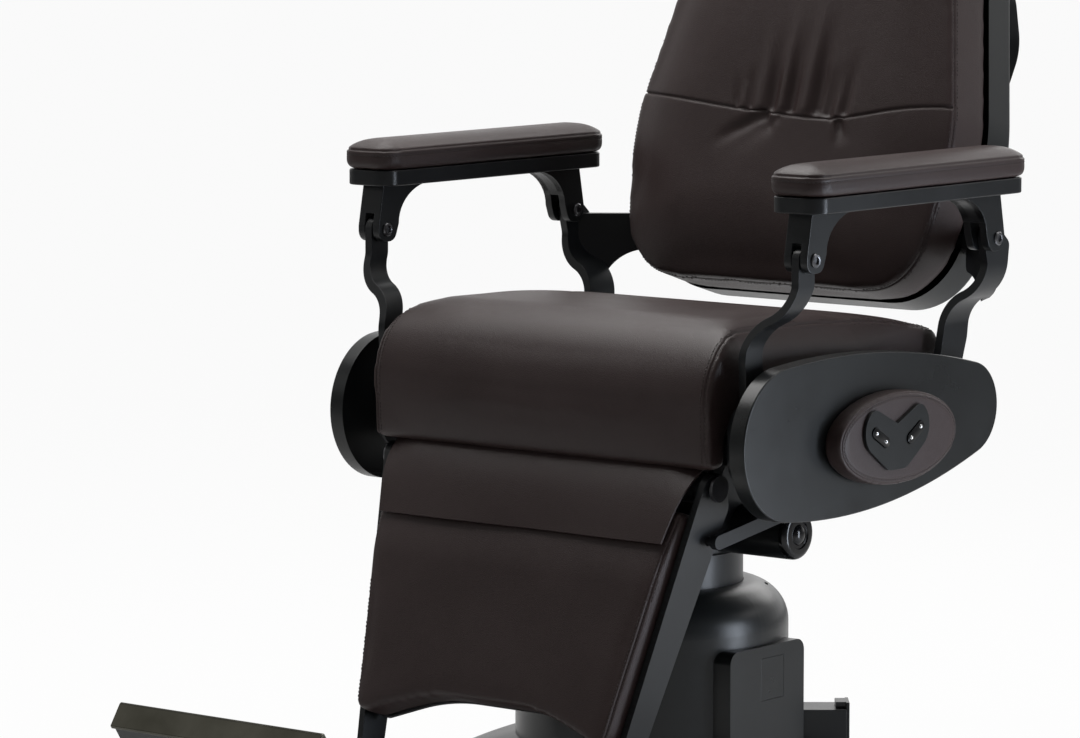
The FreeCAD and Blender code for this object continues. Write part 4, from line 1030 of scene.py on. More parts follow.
@dataclass
class SeatCushion:
    """Seat cushion with a rolled front and a seam along each side. Millimetres."""

    half: float = 247.0
    front: float = -220.0
    rear: float = 236.0
    top: float = 606.0
    lip: float = 445.0
    lip_rear: float = -180.0
    front_round: float = 88.0
    rear_drop: float = 36.0
    crest: float = 68.0
    floor: float = 498.0
    seam_inset: float = 8.0
    calm: float = 150.0
    calm_low: float = 30.0
    calm_rise: float = 60.0

    def guide(self, side: int) -> list[Vector]:
        """Seam line of one side, from the lip over the front to the rear."""
        x = side * (self.half - self.seam_inset)
        centre = (self.front + self.front_round, self.top - self.front_round)
        line = [(self.front + 5.0, self.lip + 6.0)]
        line += arc_points(centre, self.front_round, 180.0, 90.0, 12)
        line += [(self.crest, self.top), (self.rear - 14.0, self.top - self.rear_drop)]
        return [mm(x, y, z) for y, z in line]

    def bed(self, point: Vector) -> float:
        """Distance of a point from the board and from the lip's foot."""
        lip = abs(point.z - self.lip * MM)
        if point.y < self.lip_rear * MM:
            return lip
        return min(lip, abs(point.z - self.floor * MM))

    def settle(self, point: Vector) -> Vector:
        """Ease the crest of the top into one long curve."""
        away = abs(point.y - self.crest * MM) / (self.calm * MM)
        low = (self.floor + self.calm_low) * MM
        if away >= 1.0 or point.z < low:
            return point
        slope = self.rear_drop / (self.rear - self.crest)
        sag = slope * self.calm * 0.25 * (1.0 - away) ** 2
        height = smooth_share((point.z - low) / (self.calm_rise * MM))
        return point - Vector((0.0, 0.0, sag * MM * height))

    def build(self, shop: Upholsterer) -> None:
        """Stuff, sew and place the cushion."""
        padding = Padding(self.bed, rounds=7, shrink=2.0 * MM, cap=3.5 * MM, shape=self.settle)
        piece = padding.fill("seat_cushion_leather", solid_copy("seat_cushion"))
        seams = [Seam(self.guide(side), (-3.4 * MM, 3.4 * MM)) for side in SIDES]
        shop.place_pad(piece, shop.sew(piece, seams), "seat_cushion")


@dataclass
class BackOutline:
    """Outline of the back, wide at the waist and narrow at the head. Millimetres on the back."""

    height: float = 531.0
    foot_half: float = 213.0
    waist_half: float = 243.0
    waist: float = 180.0
    head_half: float = 173.0
    foot_round: float = 90.0
    waist_round: float = 300.0
    head_round: float = 120.0

    def points(self, inset: float = 0.0, steps: int = 14) -> list[Point]:
        """Outline points (x, v), drawn in by inset."""
        right = [
            (self.foot_half - inset, inset, self.foot_round - inset),
            (self.waist_half - inset, self.waist, self.waist_round),
            (self.head_half - inset, self.height - inset, self.head_round - inset),
        ]
        left = [(-x, v, radius) for x, v, radius in reversed(right)]
        return rounded(right + left, steps)


@dataclass
class BackCushion:
    """Back cushion with a gathered seam across it and a sewn side band. Millimetres on the back."""

    outline: BackOutline = field(default_factory=BackOutline)
    pad: float = 70.0
    crown: float = 22.0
    crown_reach: float = 115.0
    seam_low: float = 200.0
    seam_low_x: float = 60.0
    seam_right: float = 226.0
    seam_left: float = 227.0
    seam_half: float = 236.0
    seam_from: int = -228
    seam_to: int = 232
    seam_step: int = 12
    band: float = 3.0
    band_dip: float = 9.0
    band_foot: float = 70.0

    def seam_v(self, x: float) -> float:
        """Height of the cross seam at x: a shallow dip right of the middle."""
        side = x - self.seam_low_x
        if side < 0:
            share = min(1.0, -side / (self.seam_half + self.seam_low_x))
            return self.seam_low + (self.seam_left - self.seam_low) * share**1.45
        share = min(1.0, side / (self.seam_half - self.seam_low_x))
        return self.seam_low + (self.seam_right - self.seam_low) * smooth_share(share)

    def cast(self, tree: BVHTree, x: float, v: float) -> Vector:
        """The point of the cushion's front at (x, v)."""
        backward = BACK.matrix().to_3x3() @ Vector((0.0, 1.0, 0.0))
        place, _, _, _ = tree.ray_cast(BACK.at(x, -150.0, v), backward)
        return place if place else BACK.at(x, 0.0, v)

    def line(self, tree: BVHTree, points: Sequence[Point]) -> list[Vector]:
        """Close points on the front along a run of (x, v) points."""
        flat = walk([Vector((x, v, 0.0)) for x, v in points], 2.0)
        return [self.cast(tree, point.x, point.y) for point in flat]

    def folds(self, tree: BVHTree) -> list[Groove]:
        """Gathers that fan out above the seam and pulls that spread below it."""

        def fold(points: Sequence[Point], width: float, depth: float) -> Groove:
            return Groove(self.line(tree, points), width * MM, depth * MM, 0.06, 0.8, 1.0)

        def gather(x: float, lean: float, length: float) -> list[Point]:
            foot = self.seam_v(x)
            return [(x, foot), (x + lean * 0.3, foot + length * 0.4), (x + lean, foot + length)]

        gathers = (
            (-66.0, -4.0, 46.0, 4.5, 2.6),
            (-46.0, -4.0, 64.0, 4.5, 2.8),
            (-14.0, -2.0, 110.0, 5.5, 4.8),
            (14.0, 2.0, 110.0, 5.5, 4.8),
            (52.0, 4.0, 140.0, 6.0, 4.6),
            (68.0, 4.0, 70.0, 8.0, 4.4),
            (92.0, 8.0, 90.0, 5.5, 4.0),
            (-57.0, -4.0, 40.0, 4.0, -1.2),
            (-30.0, -2.0, 130.0, 5.5, -2.6),
            (1.0, 4.0, 170.0, 5.0, -3.4),
            (36.0, 6.0, 190.0, 6.0, -3.6),
            (80.0, 6.0, 60.0, 4.0, -1.6),
        )
        made = [fold(gather(x, lean, length), width, depth) for x, lean, length, width, depth in gathers]
        pulls = (
            ([(-16.0, 202.0), (-36.0, 196.0), (-72.0, 176.0), (-102.0, 156.0)], 5.0, 5.5),
            ([(-8.0, 195.0), (-60.0, 168.0), (-94.0, 148.0)], 12.0, 2.6),
            ([(0.0, 200.0), (-14.0, 187.0), (-26.0, 174.0)], 4.5, 2.0),
            ([(78.0, 199.0), (82.0, 186.0), (88.0, 168.0)], 4.5, -1.6),
            ([(86.0, 200.0), (91.0, 187.0), (101.0, 164.0)], 5.0, 4.6),
        )
        return made + [fold(points, width, depth) for points, width, depth in pulls]

    def build(self, shop: Upholsterer) -> None:
        """Stuff, gather, sew and place the cushion."""
        rim = [mm(x, 0.0, v) for x, v in self.outline.points()]
        tree = edge_tree(rim)

        def bed(point: Vector) -> float:
            return self.pad * MM - point.y

        def swell(point: Vector) -> Vector:
            inside = tree.find((point.x, 0.0, point.z))[2] / (self.crown_reach * MM)
            front = smooth_share(1.0 - point.y / (self.pad * 0.6 * MM))
            rise = self.crown * math.sin(math.pi / 2 * min(1.0, inside)) * front
            return point - Vector((0.0, rise * MM, 0.0))

        padding = Padding(bed, BACK.matrix(), rounds=11, shrink=0.6 * MM, cap=4.0 * MM, shape=swell)
        solid = prism(rim, Vector((0.0, self.pad * MM, 0.0)))
        piece = padding.fill("back_cushion_leather", solid)
        bm = bmesh.new()
        bm.from_mesh(piece.data)
        skin = BVHTree.FromBMesh(bm)
        bm.free()
        across = [(x, self.seam_v(x)) for x in range(self.seam_from, self.seam_to + 1, self.seam_step)]
        cross = Seam(self.line(skin, across), (), width=1.7 * MM, depth=2.4 * MM)
        edge = []
        for x, v in self.outline.points(1.0):
            edge.append(BACK.at(x, self.band + self.band_dip * smooth_share(1.0 - v / self.band_foot), v))
        band = Seam(edge, (-3.5 * MM, 3.5 * MM), closed=True)
        thread = shop.sew(piece, [cross, band], self.folds(skin))
        shop.place_pad(piece, thread, "back_cushion")


@dataclass
class ArmPad:
    """Leather pad of an armrest, the same on both sides. Millimetres."""

    x: float = 310.0
    half: float = 38.0
    front: float = -154.0
    rear: float = 264.0
    seat: float = 749.5
    top: float = 784.0
    corner: float = 24.0
    crown: float = 10.5
    crown_reach: float = 34.0
    tuck: float = 2.5
    row_drop: float = 7.0

    def loop(self, z: float) -> list[Vector]:
        """Closed line round the pad at height z."""
        sides = (self.x - self.half, self.x + self.half)
        return [mm(x, y, z) for x, y in rounded_box(sides, (self.front, self.rear), self.corner)]

    def build(self, shop: Upholsterer) -> None:
        """Stuff, sew and place both pads."""
        rim = edge_tree(self.loop(0.0))
        seam_z = self.top - self.crown
        middle = mm(self.x, (self.front + self.rear) / 2, 0.0)

        def dome(point: Vector) -> Vector:
            inside = min(1.0, rim.find((point.x, point.y, 0.0))[2] / (self.crown_reach * MM))
            level = (point.z / MM - self.seat) / (self.top - self.seat)
            drop = self.crown * (1.0 - inside) ** 2.1 * smooth_share(2.0 * level - 1.0)
            foot = self.tuck * smooth_share(1.0 - 4.0 * level)
            inward = middle - Vector((point.x, point.y, 0.0))
            inward.y = math.copysign(min(abs(inward.y), self.half * MM), inward.y)
            pull = inward.normalized() * foot * MM
            return point + pull - Vector((0.0, 0.0, drop * MM))

        for side, node in ((1, "arm_pad_left"), (-1, "arm_pad_right")):
            padding = Padding(
                lambda point: point.z - self.seat * MM,
                voxel=4.0 * MM,
                rounds=3,
                shrink=0.0,
                cap=1.2 * MM,
                shape=dome,
            )
            solid = prism(self.loop(self.seat), Vector((0.0, 0.0, (self.top - self.seat) * MM)))
            piece = padding.fill(f"{node}_leather", solid)
            seams = [
                Seam(self.loop(seam_z), (), closed=True, width=1.5 * MM, depth=1.3 * MM),
                Seam(self.loop(seam_z - self.row_drop), (0.0,), closed=True, width=1.2 * MM, depth=0.5 * MM),
            ]
            thread = shop.sew(piece, seams)
            if side < 0:
                for part in (piece, thread):
                    part.data.transform(Matrix.Scale(-1.0, 4, (1.0, 0.0, 0.0)))
                    part.data.flip_normals()
            shop.place_pad(piece, thread, node)


@dataclass
class LegrestPad:
    """Flat padded panel of the legrest between its bars. Millimetres, on the leaning panel."""

    height: float = 277.0
    top_half: float = 218.9
    foot_half: float = 181.1
    depth: float = 28.0
    inset: float = 1.0
    seam_top: float = -6.0
    seam_foot: float = 8.0
    seam_depth: float = 2.0
    swell_top: float = 3.0
    swell: float = 14.0
    swell_reach: float = 90.0

    def guide(self, side: int) -> list[Vector]:
        """Seam line down one side of the panel's front."""
        ends = ((self.top_half, self.seam_top), (self.foot_half, self.seam_foot - self.height))
        depth = self.seam_depth - self.swell
        return [LEGREST.at(side * (half - self.inset), depth, v) for half, v in ends]

    def taper(self, v: float) -> float:
        """Width of the panel at a height, in metres, as a share of its top width."""
        return 1.0 + (self.foot_half / self.top_half - 1.0) * -v / (self.height * MM)

    def swelled(self, point: Vector) -> Vector:
        """Taper the panel and push its front forward, less where the flap hangs over it."""
        front = smooth_share(1.0 - point.y / (0.7 * self.depth * MM))
        share = smooth_share(-point.z / (self.swell_reach * MM))
        rise = self.swell_top + (self.swell - self.swell_top) * share
        return Vector((point.x * self.taper(point.z), point.y - rise * front * MM, point.z))

    def build(self, shop: Upholsterer) -> None:
        """Stuff, sew and place the panel."""
        padding = Padding(
            lambda point: self.depth * MM - point.y,
            LEGREST.matrix(),
            voxel=4.0 * MM,
            rounds=8,
            shrink=0.0,
            cap=1.5 * MM,
            shape=self.swelled,
        )
        bm = solid_copy("legrest_pad", LEGREST.matrix())
        for vert in bm.verts:
            vert.co.x /= self.taper(vert.co.z)
        piece = padding.fill("legrest_pad_leather", bm)
        seams = [Seam(self.guide(side), (-3.0 * MM, 3.0 * MM)) for side in SIDES]
        shop.place_pad(piece, shop.sew(piece, seams), "legrest_pad")


@dataclass
class SidePad:
    """Oval leather pad on each side cover. Millimetres."""

    y: float = 36.0
    z: float = 467.0
    half_length: float = 114.0
    half_height: float = 53.0
    face: float = 326.0
    root: float = 301.0
    welt_inset: float = 2.5
    row_inset: float = 6.5

    def loop(self, inset: float) -> list[Vector]:
        """Closed oval line on the pad's face."""
        a = self.half_length - inset
        b = self.half_height - inset
        turns = [2 * math.pi * i / 72 for i in range(72)]
        return [mm(self.face, self.y + a * math.cos(t), self.z + b * math.sin(t)) for t in turns]

    def build(self, shop: Upholsterer) -> None:
        """Stuff, sew and place the two pads as one piece."""
        bm = prism(self.loop(0.0), Vector(((self.root - self.face) * MM, 0.0, 0.0)))
        padding = Padding(
            lambda point: point.x - self.root * MM,
            voxel=3.0 * MM,
            rounds=4,
            shrink=0.0,
            cap=0.6 * MM,
        )
        piece = padding.fill("side_pads_leather", bm)
        seams = [
            Seam(self.loop(self.welt_inset), (), closed=True, width=1.1 * MM, depth=1.0 * MM),
            Seam(self.loop(self.row_inset), (0.0,), closed=True, width=1.1 * MM, depth=0.8 * MM),
        ]
        shop.place_pad(piece, shop.sew(piece, seams, twin=True), "side_pads")


@dataclass
class HeadrestPad:
    """Headrest pad with a seam round its side. Millimetres on the back."""

    half: float = 132.0
    foot: float = 565.0
    height: float = 140.0
    rear: float = 51.1
    seam_depth: float = 22.0
    corner: float = 34.0

    def loop(self) -> list[Vector]:
        """Closed line round the pad's side."""
        heights = (self.foot, self.foot + self.height)
        outline = rounded_box((-self.half, self.half), heights, self.corner)
        return [BACK.at(x, self.seam_depth, v) for x, v in outline]

    def build(self, shop: Upholsterer) -> None:
        """Stuff, sew and place the pad."""
        padding = Padding(
            lambda point: self.rear * MM - point.y,
            BACK.matrix(),
            voxel=5.0 * MM,
            rounds=6,
            shrink=1.0 * MM,
            cap=4.0 * MM,
        )
        piece = padding.fill("headrest_pad_leather", solid_copy("headrest_pad", BACK.matrix()))
        seams = [Seam(self.loop(), (-3.2 * MM, 3.2 * MM), closed=True)]
        shop.place_pad(piece, shop.sew(piece, seams), "headrest_pad")


@dataclass
class FrontFlap:
    """Leather flap that hangs from under the seat's front edge over the legrest. Millimetres."""

    top_y: float = -199.0
    top_z: float = 451.0
    bottom_y: float = -248.0
    bottom_z: float = 368.0
    half_top: float = 223.0
    half_bottom: float = 205.0
    thickness: float = 2.6
    curl: float = 14.0
    belly: float = 8.0
    wave: float = 1.2

    def length(self) -> float:
        """Length of the flap down its slope."""
        return math.hypot(self.bottom_y - self.top_y, self.bottom_z - self.top_z)

    def build(self, shop: Upholsterer) -> None:
        """Shape, thicken and place the flap across the legrest's hinge."""
        bm = bmesh.new()
        bmesh.ops.create_grid(bm, x_segments=72, y_segments=20, size=1.0)
        for vert in bm.verts:
            across = vert.co.x
            down = (1.0 - vert.co.y) / 2
            half = self.half_top + (self.half_bottom - self.half_top) * down
            edge = max(0.0, (abs(across) - 0.8) / 0.2)
            y = self.top_y + (self.bottom_y - self.top_y) * down
            y += self.curl * edge**2 * (1.0 - down) ** 4 - self.belly * math.sin(math.pi * down**0.7)
            y += self.wave * math.sin(5.0 * across + 1.0) * down
            z = self.top_z + (self.bottom_z - self.top_z) * down
            vert.co = mm(across * half, y, z)
        bmesh.ops.recalc_face_normals(bm, faces=bm.faces)
        bmesh.ops.solidify(bm, geom=bm.faces[:], thickness=self.thickness * MM)
        bmesh.ops.recalc_face_normals(bm, faces=bm.faces)
        piece = to_object("front_flap_leather", bm, 50.0)
        shop.wardrobe.dress(piece, Slot.LEATHER)
        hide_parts("front_flap")
        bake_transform(piece)
        log.info("%s bends between seat and legrest", piece.name)


# Frame and hardware


@dataclass(frozen=True)
class Casting:
    """A rigid node shown with rounded edges."""

    node: str
    width: float
    segments: int = 2

    def build(self, shop: Upholsterer) -> None:
        """Copy the solid, round its edges and put it in its place."""
        bm = solid_copy(self.node)
        round_edges(bm, self.width * MM, self.segments)
        shop.fit(f"{self.node}_finished", bm, self.node)


CASTINGS = (
    Casting("front_leg_left", 2.0, 3),
    Casting("front_leg_right", 2.0, 3),
    Casting("back_leg_left", 2.0, 3),
    Casting("back_leg_right", 2.0, 3),
    Casting("legrest_bars", 1.2),
    Casting("hip_plates", 0.8),
    Casting("control_box", 2.4, 3),
    Casting("control_box_hatch", 0.7),
    Casting("inlet_box", 1.2),
    Casting("inlet_socket", 0.6),
    Casting("legrest_links", 0.8),
    Casting("legrest_brackets", 0.8),
    Casting("headrest_plate", 1.0),
    Casting("tube_saddles", 0.8),
    Casting("footrest_body", 1.5, 3),
    Casting("footrest_tread", 0.6),
    Casting("swivel_head", 1.0),
    Casting("base_plate", 1.0),
)


@dataclass
class TubeCaps:
    """Ringed caps in the ends of the cross tube. Millimetres."""

    tube_half: float = 204.0
    tube_z: float = 350.0
    radius: float = 29.0
    proud: float = 9.0
    rim: float = 7.5
    plug_depth: float = 12.0
    plug_step: float = 5.2
    ring: tuple[float, float, float, float] = (16.5, 15.5, 12.0, 11.0)
    ring_depth: float = 1.6
    knob: float = 9.0
    knob_flatness: float = 0.34
    knob_rise: float = 3.0

    def profile(self) -> list[Point]:
        """Half-section of a cap: plug, rounded rim, ring groove and flat knob."""
        face = self.tube_half + self.proud
        sunk = face - self.ring_depth
        inner = self.radius - self.plug_step
        foot = self.tube_half - self.plug_depth
        points = [(foot, 0.0), (foot, inner), (self.tube_half, inner), (self.tube_half, self.radius)]
        points += arc_points((face - self.rim, self.radius - self.rim), self.rim, 90.0, 0.0, 7)
        points += zip((face, sunk, sunk, face), self.ring)
        for x, r in arc_points((face, 0.0), self.knob, 80.0, 0.0, 6)[1:-1]:
            points.append((face + (x - face) * self.knob_flatness, r))
        return points + [(face + self.knob_rise, 0.0)]

    def build(self, shop: Upholsterer) -> None:
        """Turn one cap, mirror it and place both as one piece."""
        bm = lathe(self.profile(), 48)
        bmesh.ops.translate(bm, vec=(0.0, 0.0, self.tube_z * MM), verts=bm.verts)
        mirror_x(bm)
        piece = to_object("cross_tube_caps_ringed", bm)
        caps = shop.place(piece, "seat", Slot.BLACK_PLASTIC, "cross_tube_caps")
        shop.wardrobe.wear(caps, shop.wardrobe.by_slot[Slot.BUTTON_PLASTIC])


@dataclass
class HingeTube:
    """Dark tube between the legrest's two hinge pins. Millimetres."""

    y: float = -185.0
    z: float = 425.0
    radius: float = 18.0
    half: float = 213.5

    def build(self, shop: Upholsterer) -> None:
        """Turn and place the tube."""
        profile = [(-self.half, 0.0), (-self.half, self.radius), (self.half, self.radius), (self.half, 0.0)]
        bm = lathe(profile, 48)
        bm.transform(Matrix.Translation(mm(0.0, self.y, self.z)))
        shop.place(to_object("legrest_hinge_tube", bm), "seat", Slot.BLACK_METAL)


@dataclass
class ArmBases:
    """Black plates under the arm pads with forked ears for the legs. Millimetres."""

    x: float = 310.0
    half: float = 34.5
    front: float = -150.5
    rear: float = 260.5
    corner: float = 20.5
    low: float = 731.0
    top: float = 749.4
    sink: float = 2.0
    pivots: tuple[tuple[float, int], ...] = ((-129.0, -1), (226.0, 1))
    pivot_z: float = 679.0
    radius: float = 14.5
    ears: tuple[tuple[float, float], ...] = ((294.0, 304.0), (316.0, 326.0))
    web_rise: float = 19.0
    flare: tuple[float, float] = (62.0, 46.0)
    flare_start: float = -84.0
    outer_top: float = 5.0
    lobe_rise: float = 4.0
    lobe_round: float = 12.0
    foot_share: float = 0.9
    web_step: float = 2.6
    web_end: float = 3.0
    web_inset: float = 0.4
    plate_edge: float = 1.8
    ear_edge: float = 1.2

    def ear(self, pivot: float, outward: int, web: bool) -> list[Point]:
        """Outline points (y, z) of an ear, or of the web that joins two ears above the leg."""
        turns = [math.radians(90.0 - 7.5 * i) for i in range(13)]
        reach, fall = self.flare
        curve = [
            (self.flare_start + reach * math.sin(turn), self.low - fall * (1.0 - math.cos(turn)), 0.0)
            for turn in turns
        ]
        foot = self.pivot_z - self.radius
        if web:
            rise = self.pivot_z + self.web_rise
            end = self.flare_start + reach - self.web_end
            lobe = [(self.radius - self.web_step, rise, 0.0), (end, rise, 0.0)]
            curve = [(y, z, radius) for y, z, radius in curve if z > rise]
        else:
            lobe = [
                (self.radius, self.pivot_z + self.lobe_rise, self.lobe_round),
                (self.radius, foot, self.radius * self.foot_share),
                (-self.radius, foot, self.radius * self.foot_share),
            ]
        corners = [
            (self.outer_top, self.low + self.sink, 0.0),
            *lobe,
            *curve,
            (self.flare_start, self.low + self.sink, 0.0),
        ]
        return rounded([(pivot + outward * y, z, radius) for y, z, radius in corners])

    def build(self, shop: Upholsterer) -> None:
        """Build the left base, round its edges and mirror it for the right."""
        sides = (self.x - self.half, self.x + self.half)
        plan = rounded_box(sides, (self.front, self.rear), self.corner)
        points = [mm(x, y, self.low) for x, y in plan]
        for node, side in (("arm_base_left", 1), ("arm_base_right", -1)):
            bm = prism(points, Vector((0.0, 0.0, (self.top - self.low) * MM)))
            round_edges(bm, self.plate_edge * MM, 3)
            for pivot, outward in self.pivots:
                for low, high in self.ears:
                    self.add_ear(bm, self.ear(pivot, outward, False), low, high)
                ends = (self.ears[0][0] + self.web_inset, self.ears[1][1] - self.web_inset)
                self.add_ear(bm, self.ear(pivot, outward, True), *ends)
            if side < 0:
                flip_x(bm)
            shop.fit(f"{node}_forked", bm, node)

    def add_ear(self, bm: BMesh, outline: Sequence[Point], low: float, high: float) -> None:
        """Add an ear between two planes across the chair."""
        points = [mm(low, y, z) for y, z in outline]
        ear = prism(points, Vector(((high - low) * MM, 0.0, 0.0)))
        round_edges(ear, self.ear_edge * MM, 2, 50.0)
        add_mesh(bm, ear)


@dataclass
class ArmBolts:
    """Socket-headed pivot bolts through the arm ears. Millimetres."""

    x: float = 310.0
    outer: float = 16.0
    head: float = 3.0
    radius: float = 8.0
    socket: float = 4.2
    shank: float = 6.0
    z: float = 679.0
    pivots: tuple[float, float] = (-129.0, 226.0)
    socket_depth: float = 2.4
    lip_depth: float = 0.2
    lip_width: float = 0.4
    chamfer: float = 1.2

    def profile(self) -> list[Point]:
        """Half-section of a bolt with a socket in both ends."""
        end = self.outer + self.head
        half = [
            (end - self.socket_depth, 0.0),
            (end - self.socket_depth, self.socket),
            (end - self.lip_depth, self.socket),
            (end, self.socket + self.lip_width),
            (end, self.radius - self.chamfer),
            (end - self.chamfer, self.radius),
            (self.outer, self.radius),
            (self.outer, self.shank),
        ]
        return half + [(-x, r) for x, r in reversed(half)]

    def build(self, shop: Upholsterer) -> None:
        """Turn the bolts and place each side's pair."""
        for side, place in ((1, "left"), (-1, "right")):
            bm = bmesh.new()
            for y in self.pivots:
                bolt = lathe(self.profile(), 24)
                bmesh.ops.translate(bolt, vec=mm(side * self.x, y, self.z), verts=bolt.verts)
                add_mesh(bm, bolt)
            node = f"arm_bolts_{place}"
            shop.place(to_object(f"{node}_socketed", bm), BODY_OF[node], Slot.STEEL, node)


@dataclass
class SideCovers:
    """Teardrop covers over the hinges on both sides. Millimetres."""

    inner: float = 280.0
    outer: float = 301.0
    wall: float = 4.0
    front: tuple[float, float, float] = (-138.0, 474.0, 86.0)
    rear: tuple[float, float, float] = (212.0, 482.0, 54.0)
    front_sweep: float = 85.0
    rear_rise: float = 76.0
    rear_fall: float = 72.0
    bulge: float = 15.5
    sag: float = 21.0
    edge: float = 1.8

    def outline(self) -> list[Point]:
        """Outline points (y, z)."""
        sweep = (180.0 - self.front_sweep, 180.0 + self.front_sweep)
        nose = arc_points(self.front[:2], self.front[2], *sweep, 41)
        tail = arc_points(self.rear[:2], self.rear[2], -self.rear_fall, self.rear_rise, 31)
        low = self.bowed(nose[-1], tail[0], -self.sag)
        return nose + low + tail + self.bowed(tail[-1], nose[0], self.bulge)

    def bowed(self, start: Point, end: Point, rise: float) -> list[Point]:
        """Points of a run between two points, without its ends, that rises in its middle."""
        shares = [i / 24 for i in range(1, 24)]
        run = [(start[0] + (end[0] - start[0]) * s, start[1] + (end[1] - start[1]) * s) for s in shares]
        return [(y, z + rise * 4 * s * (1 - s)) for (y, z), s in zip(run, shares)]

    def build(self, shop: Upholsterer) -> None:
        """Extrude one cover, hollow it from inside, round it and mirror it."""
        points = [mm(self.inner, y, z) for y, z in self.outline()]
        bm = prism(points, Vector(((self.outer - self.inner) * MM, 0.0, 0.0)))
        inside = [face for face in bm.faces if face.normal.x < -0.9]
        depth = (self.outer - self.wall - self.inner) * MM
        hollow(bm, inside, self.wall * MM, Vector((depth, 0.0, 0.0)))
        round_edges(bm, self.edge * MM, 3)
        mirror_x(bm)
        shop.fit("side_covers_rounded", bm, "side_covers")


@dataclass
class Keypads:
    """Heart-shaped keypads with two gloss rockers each, and two bright domes per rocker. Millimetres."""

    y: float = 24.0
    z: float = 468.0
    face: float = 326.0
    thickness: float = 5.0
    half_width: float = 77.0
    tip_rise: float = 7.6
    lobe: float = 45.0
    rise: float = 38.0
    notch: float = 17.0
    drop: float = 35.0
    foot: float = 17.0
    tip_round: float = 27.0
    lobe_round: float = 14.0
    foot_round: float = 16.0
    notch_round: float = 3.0
    spread: float = 33.5
    rocker_rise: float = 4.0
    rocker_length: float = 35.0
    rocker_width: float = 12.0
    slant: float = 31.0
    rocker_low: float = 328.0
    rocker_top: float = 332.6
    gap: float = 0.9
    dome: float = 2.6
    dome_reach: float = 10.5
    dome_sink: float = 0.9
    pad_edge: float = 0.8
    rocker_edge: float = 1.2

    def heart(self) -> list[Point]:
        """Outline points (y, z) of a keypad."""
        right = [
            (self.lobe, self.rise, self.lobe_round),
            (self.half_width, self.tip_rise, self.tip_round),
            (self.foot, -self.drop, self.foot_round),
        ]
        left = [(-y, z, radius) for y, z, radius in reversed(right)]
        corners = [(0.0, self.notch, self.notch_round), *right, *left]
        return rounded([(self.y + y, self.z + z, radius) for y, z, radius in corners])

    def spot(self, end: int, along: float, across: float = 0.0) -> Point:
        """A point (y, z) of the front (-1) or rear (1) rocker, along and across its slant."""
        turn = math.radians(end * self.slant)
        y = self.y + end * self.spread + along * math.cos(turn) - across * math.sin(turn)
        z = self.z + self.rocker_rise + along * math.sin(turn) + across * math.cos(turn)
        return y, z

    def pill(self, end: int, grow: float) -> list[Point]:
        """Outline points (y, z) of the front (-1) or rear (1) rocker, grown by a margin."""
        a = self.rocker_length / 2 + grow
        b = self.rocker_width / 2 + grow
        spots = [self.spot(end, *corner) for corner in ((-a, -b), (a, -b), (a, b), (-a, b))]
        return rounded([(y, z, b * 0.999) for y, z in spots], 8)

    def build(self, shop: Upholsterer) -> None:
        """Build both keypads, the four rockers and their domes."""

        def at(x: float, outline: Sequence[Point]) -> list[Vector]:
            return [mm(x, y, z) for y, z in outline]

        holes = [at(self.face, self.pill(end, self.gap)) for end in SIDES]
        bm = prism(at(self.face, self.heart()), Vector((self.thickness * MM, 0.0, 0.0)), holes)
        round_edges(bm, self.pad_edge * MM, 2)
        mirror_x(bm)
        shop.fit("keypads_rounded", bm, "keypads")
        push = Vector(((self.rocker_top - self.rocker_low) * MM, 0.0, 0.0))
        for place, end in (("front", -1), ("rear", 1)):
            for hand, side in (("left", 1), ("right", -1)):
                node = f"rocker_{place}_{hand}"
                key = prism(at(self.rocker_low, self.pill(end, 0.0)), push)
                round_edges(key, self.rocker_edge * MM, 3)
                domes = self.domes(end)
                if side < 0:
                    flip_x(key)
                    flip_x(domes)
                shop.place(to_object(f"{node}_gloss", key), node, Slot.BUTTON_PLASTIC, node)
                bright = shop.place(to_object(f"{node}_domes", domes), node, Slot.STEEL)
                shop.wardrobe.wear(bright, shop.wardrobe.chrome)

    def domes(self, end: int) -> BMesh:
        """The two bright domes of a rocker on the left."""
        bm = bmesh.new()
        for along in (-self.dome_reach, self.dome_reach):
            matrix = Matrix.Translation(mm(self.rocker_top - self.dome_sink, *self.spot(end, along)))
            bmesh.ops.create_uvsphere(bm, u_segments=20, v_segments=12, radius=self.dome * MM, matrix=matrix)
        return bm


@dataclass
class BackShell:
    """Hard shell behind the back cushion, open towards it. Millimetres on the back."""

    outline: BackOutline = field(default_factory=BackOutline)
    share: float = 0.995
    front: float = 70.5
    rear: float = 121.5
    edge: float = 8.0
    wall: float = 4.0

    def build(self, shop: Upholsterer) -> None:
        """Extrude the shell, round its rear, hollow it and place it."""
        middle = self.outline.height / 2
        rim = [(x * self.share, middle + (v - middle) * self.share) for x, v in self.outline.points()]
        points = [mm(x, self.front, v) for x, v in rim]
        bm = prism(points, Vector((0.0, (self.rear - self.front) * MM, 0.0)))
        inside = [face for face in bm.faces if face.normal.y < -0.9]
        depth = (self.rear - self.wall - self.front) * MM
        hollow(bm, inside, self.wall * MM, Vector((0.0, depth, 0.0)))
        back = [face for face in bm.faces if face.normal.y > 0.9]
        corner = {edge for face in back for edge in face.edges if edge.calc_face_angle() > 1.0}
        bevel(bm, list(corner), self.edge * MM, 6)
        bm.transform(BACK.matrix())
        shop.fit("back_shell_rounded", bm, "back_shell")


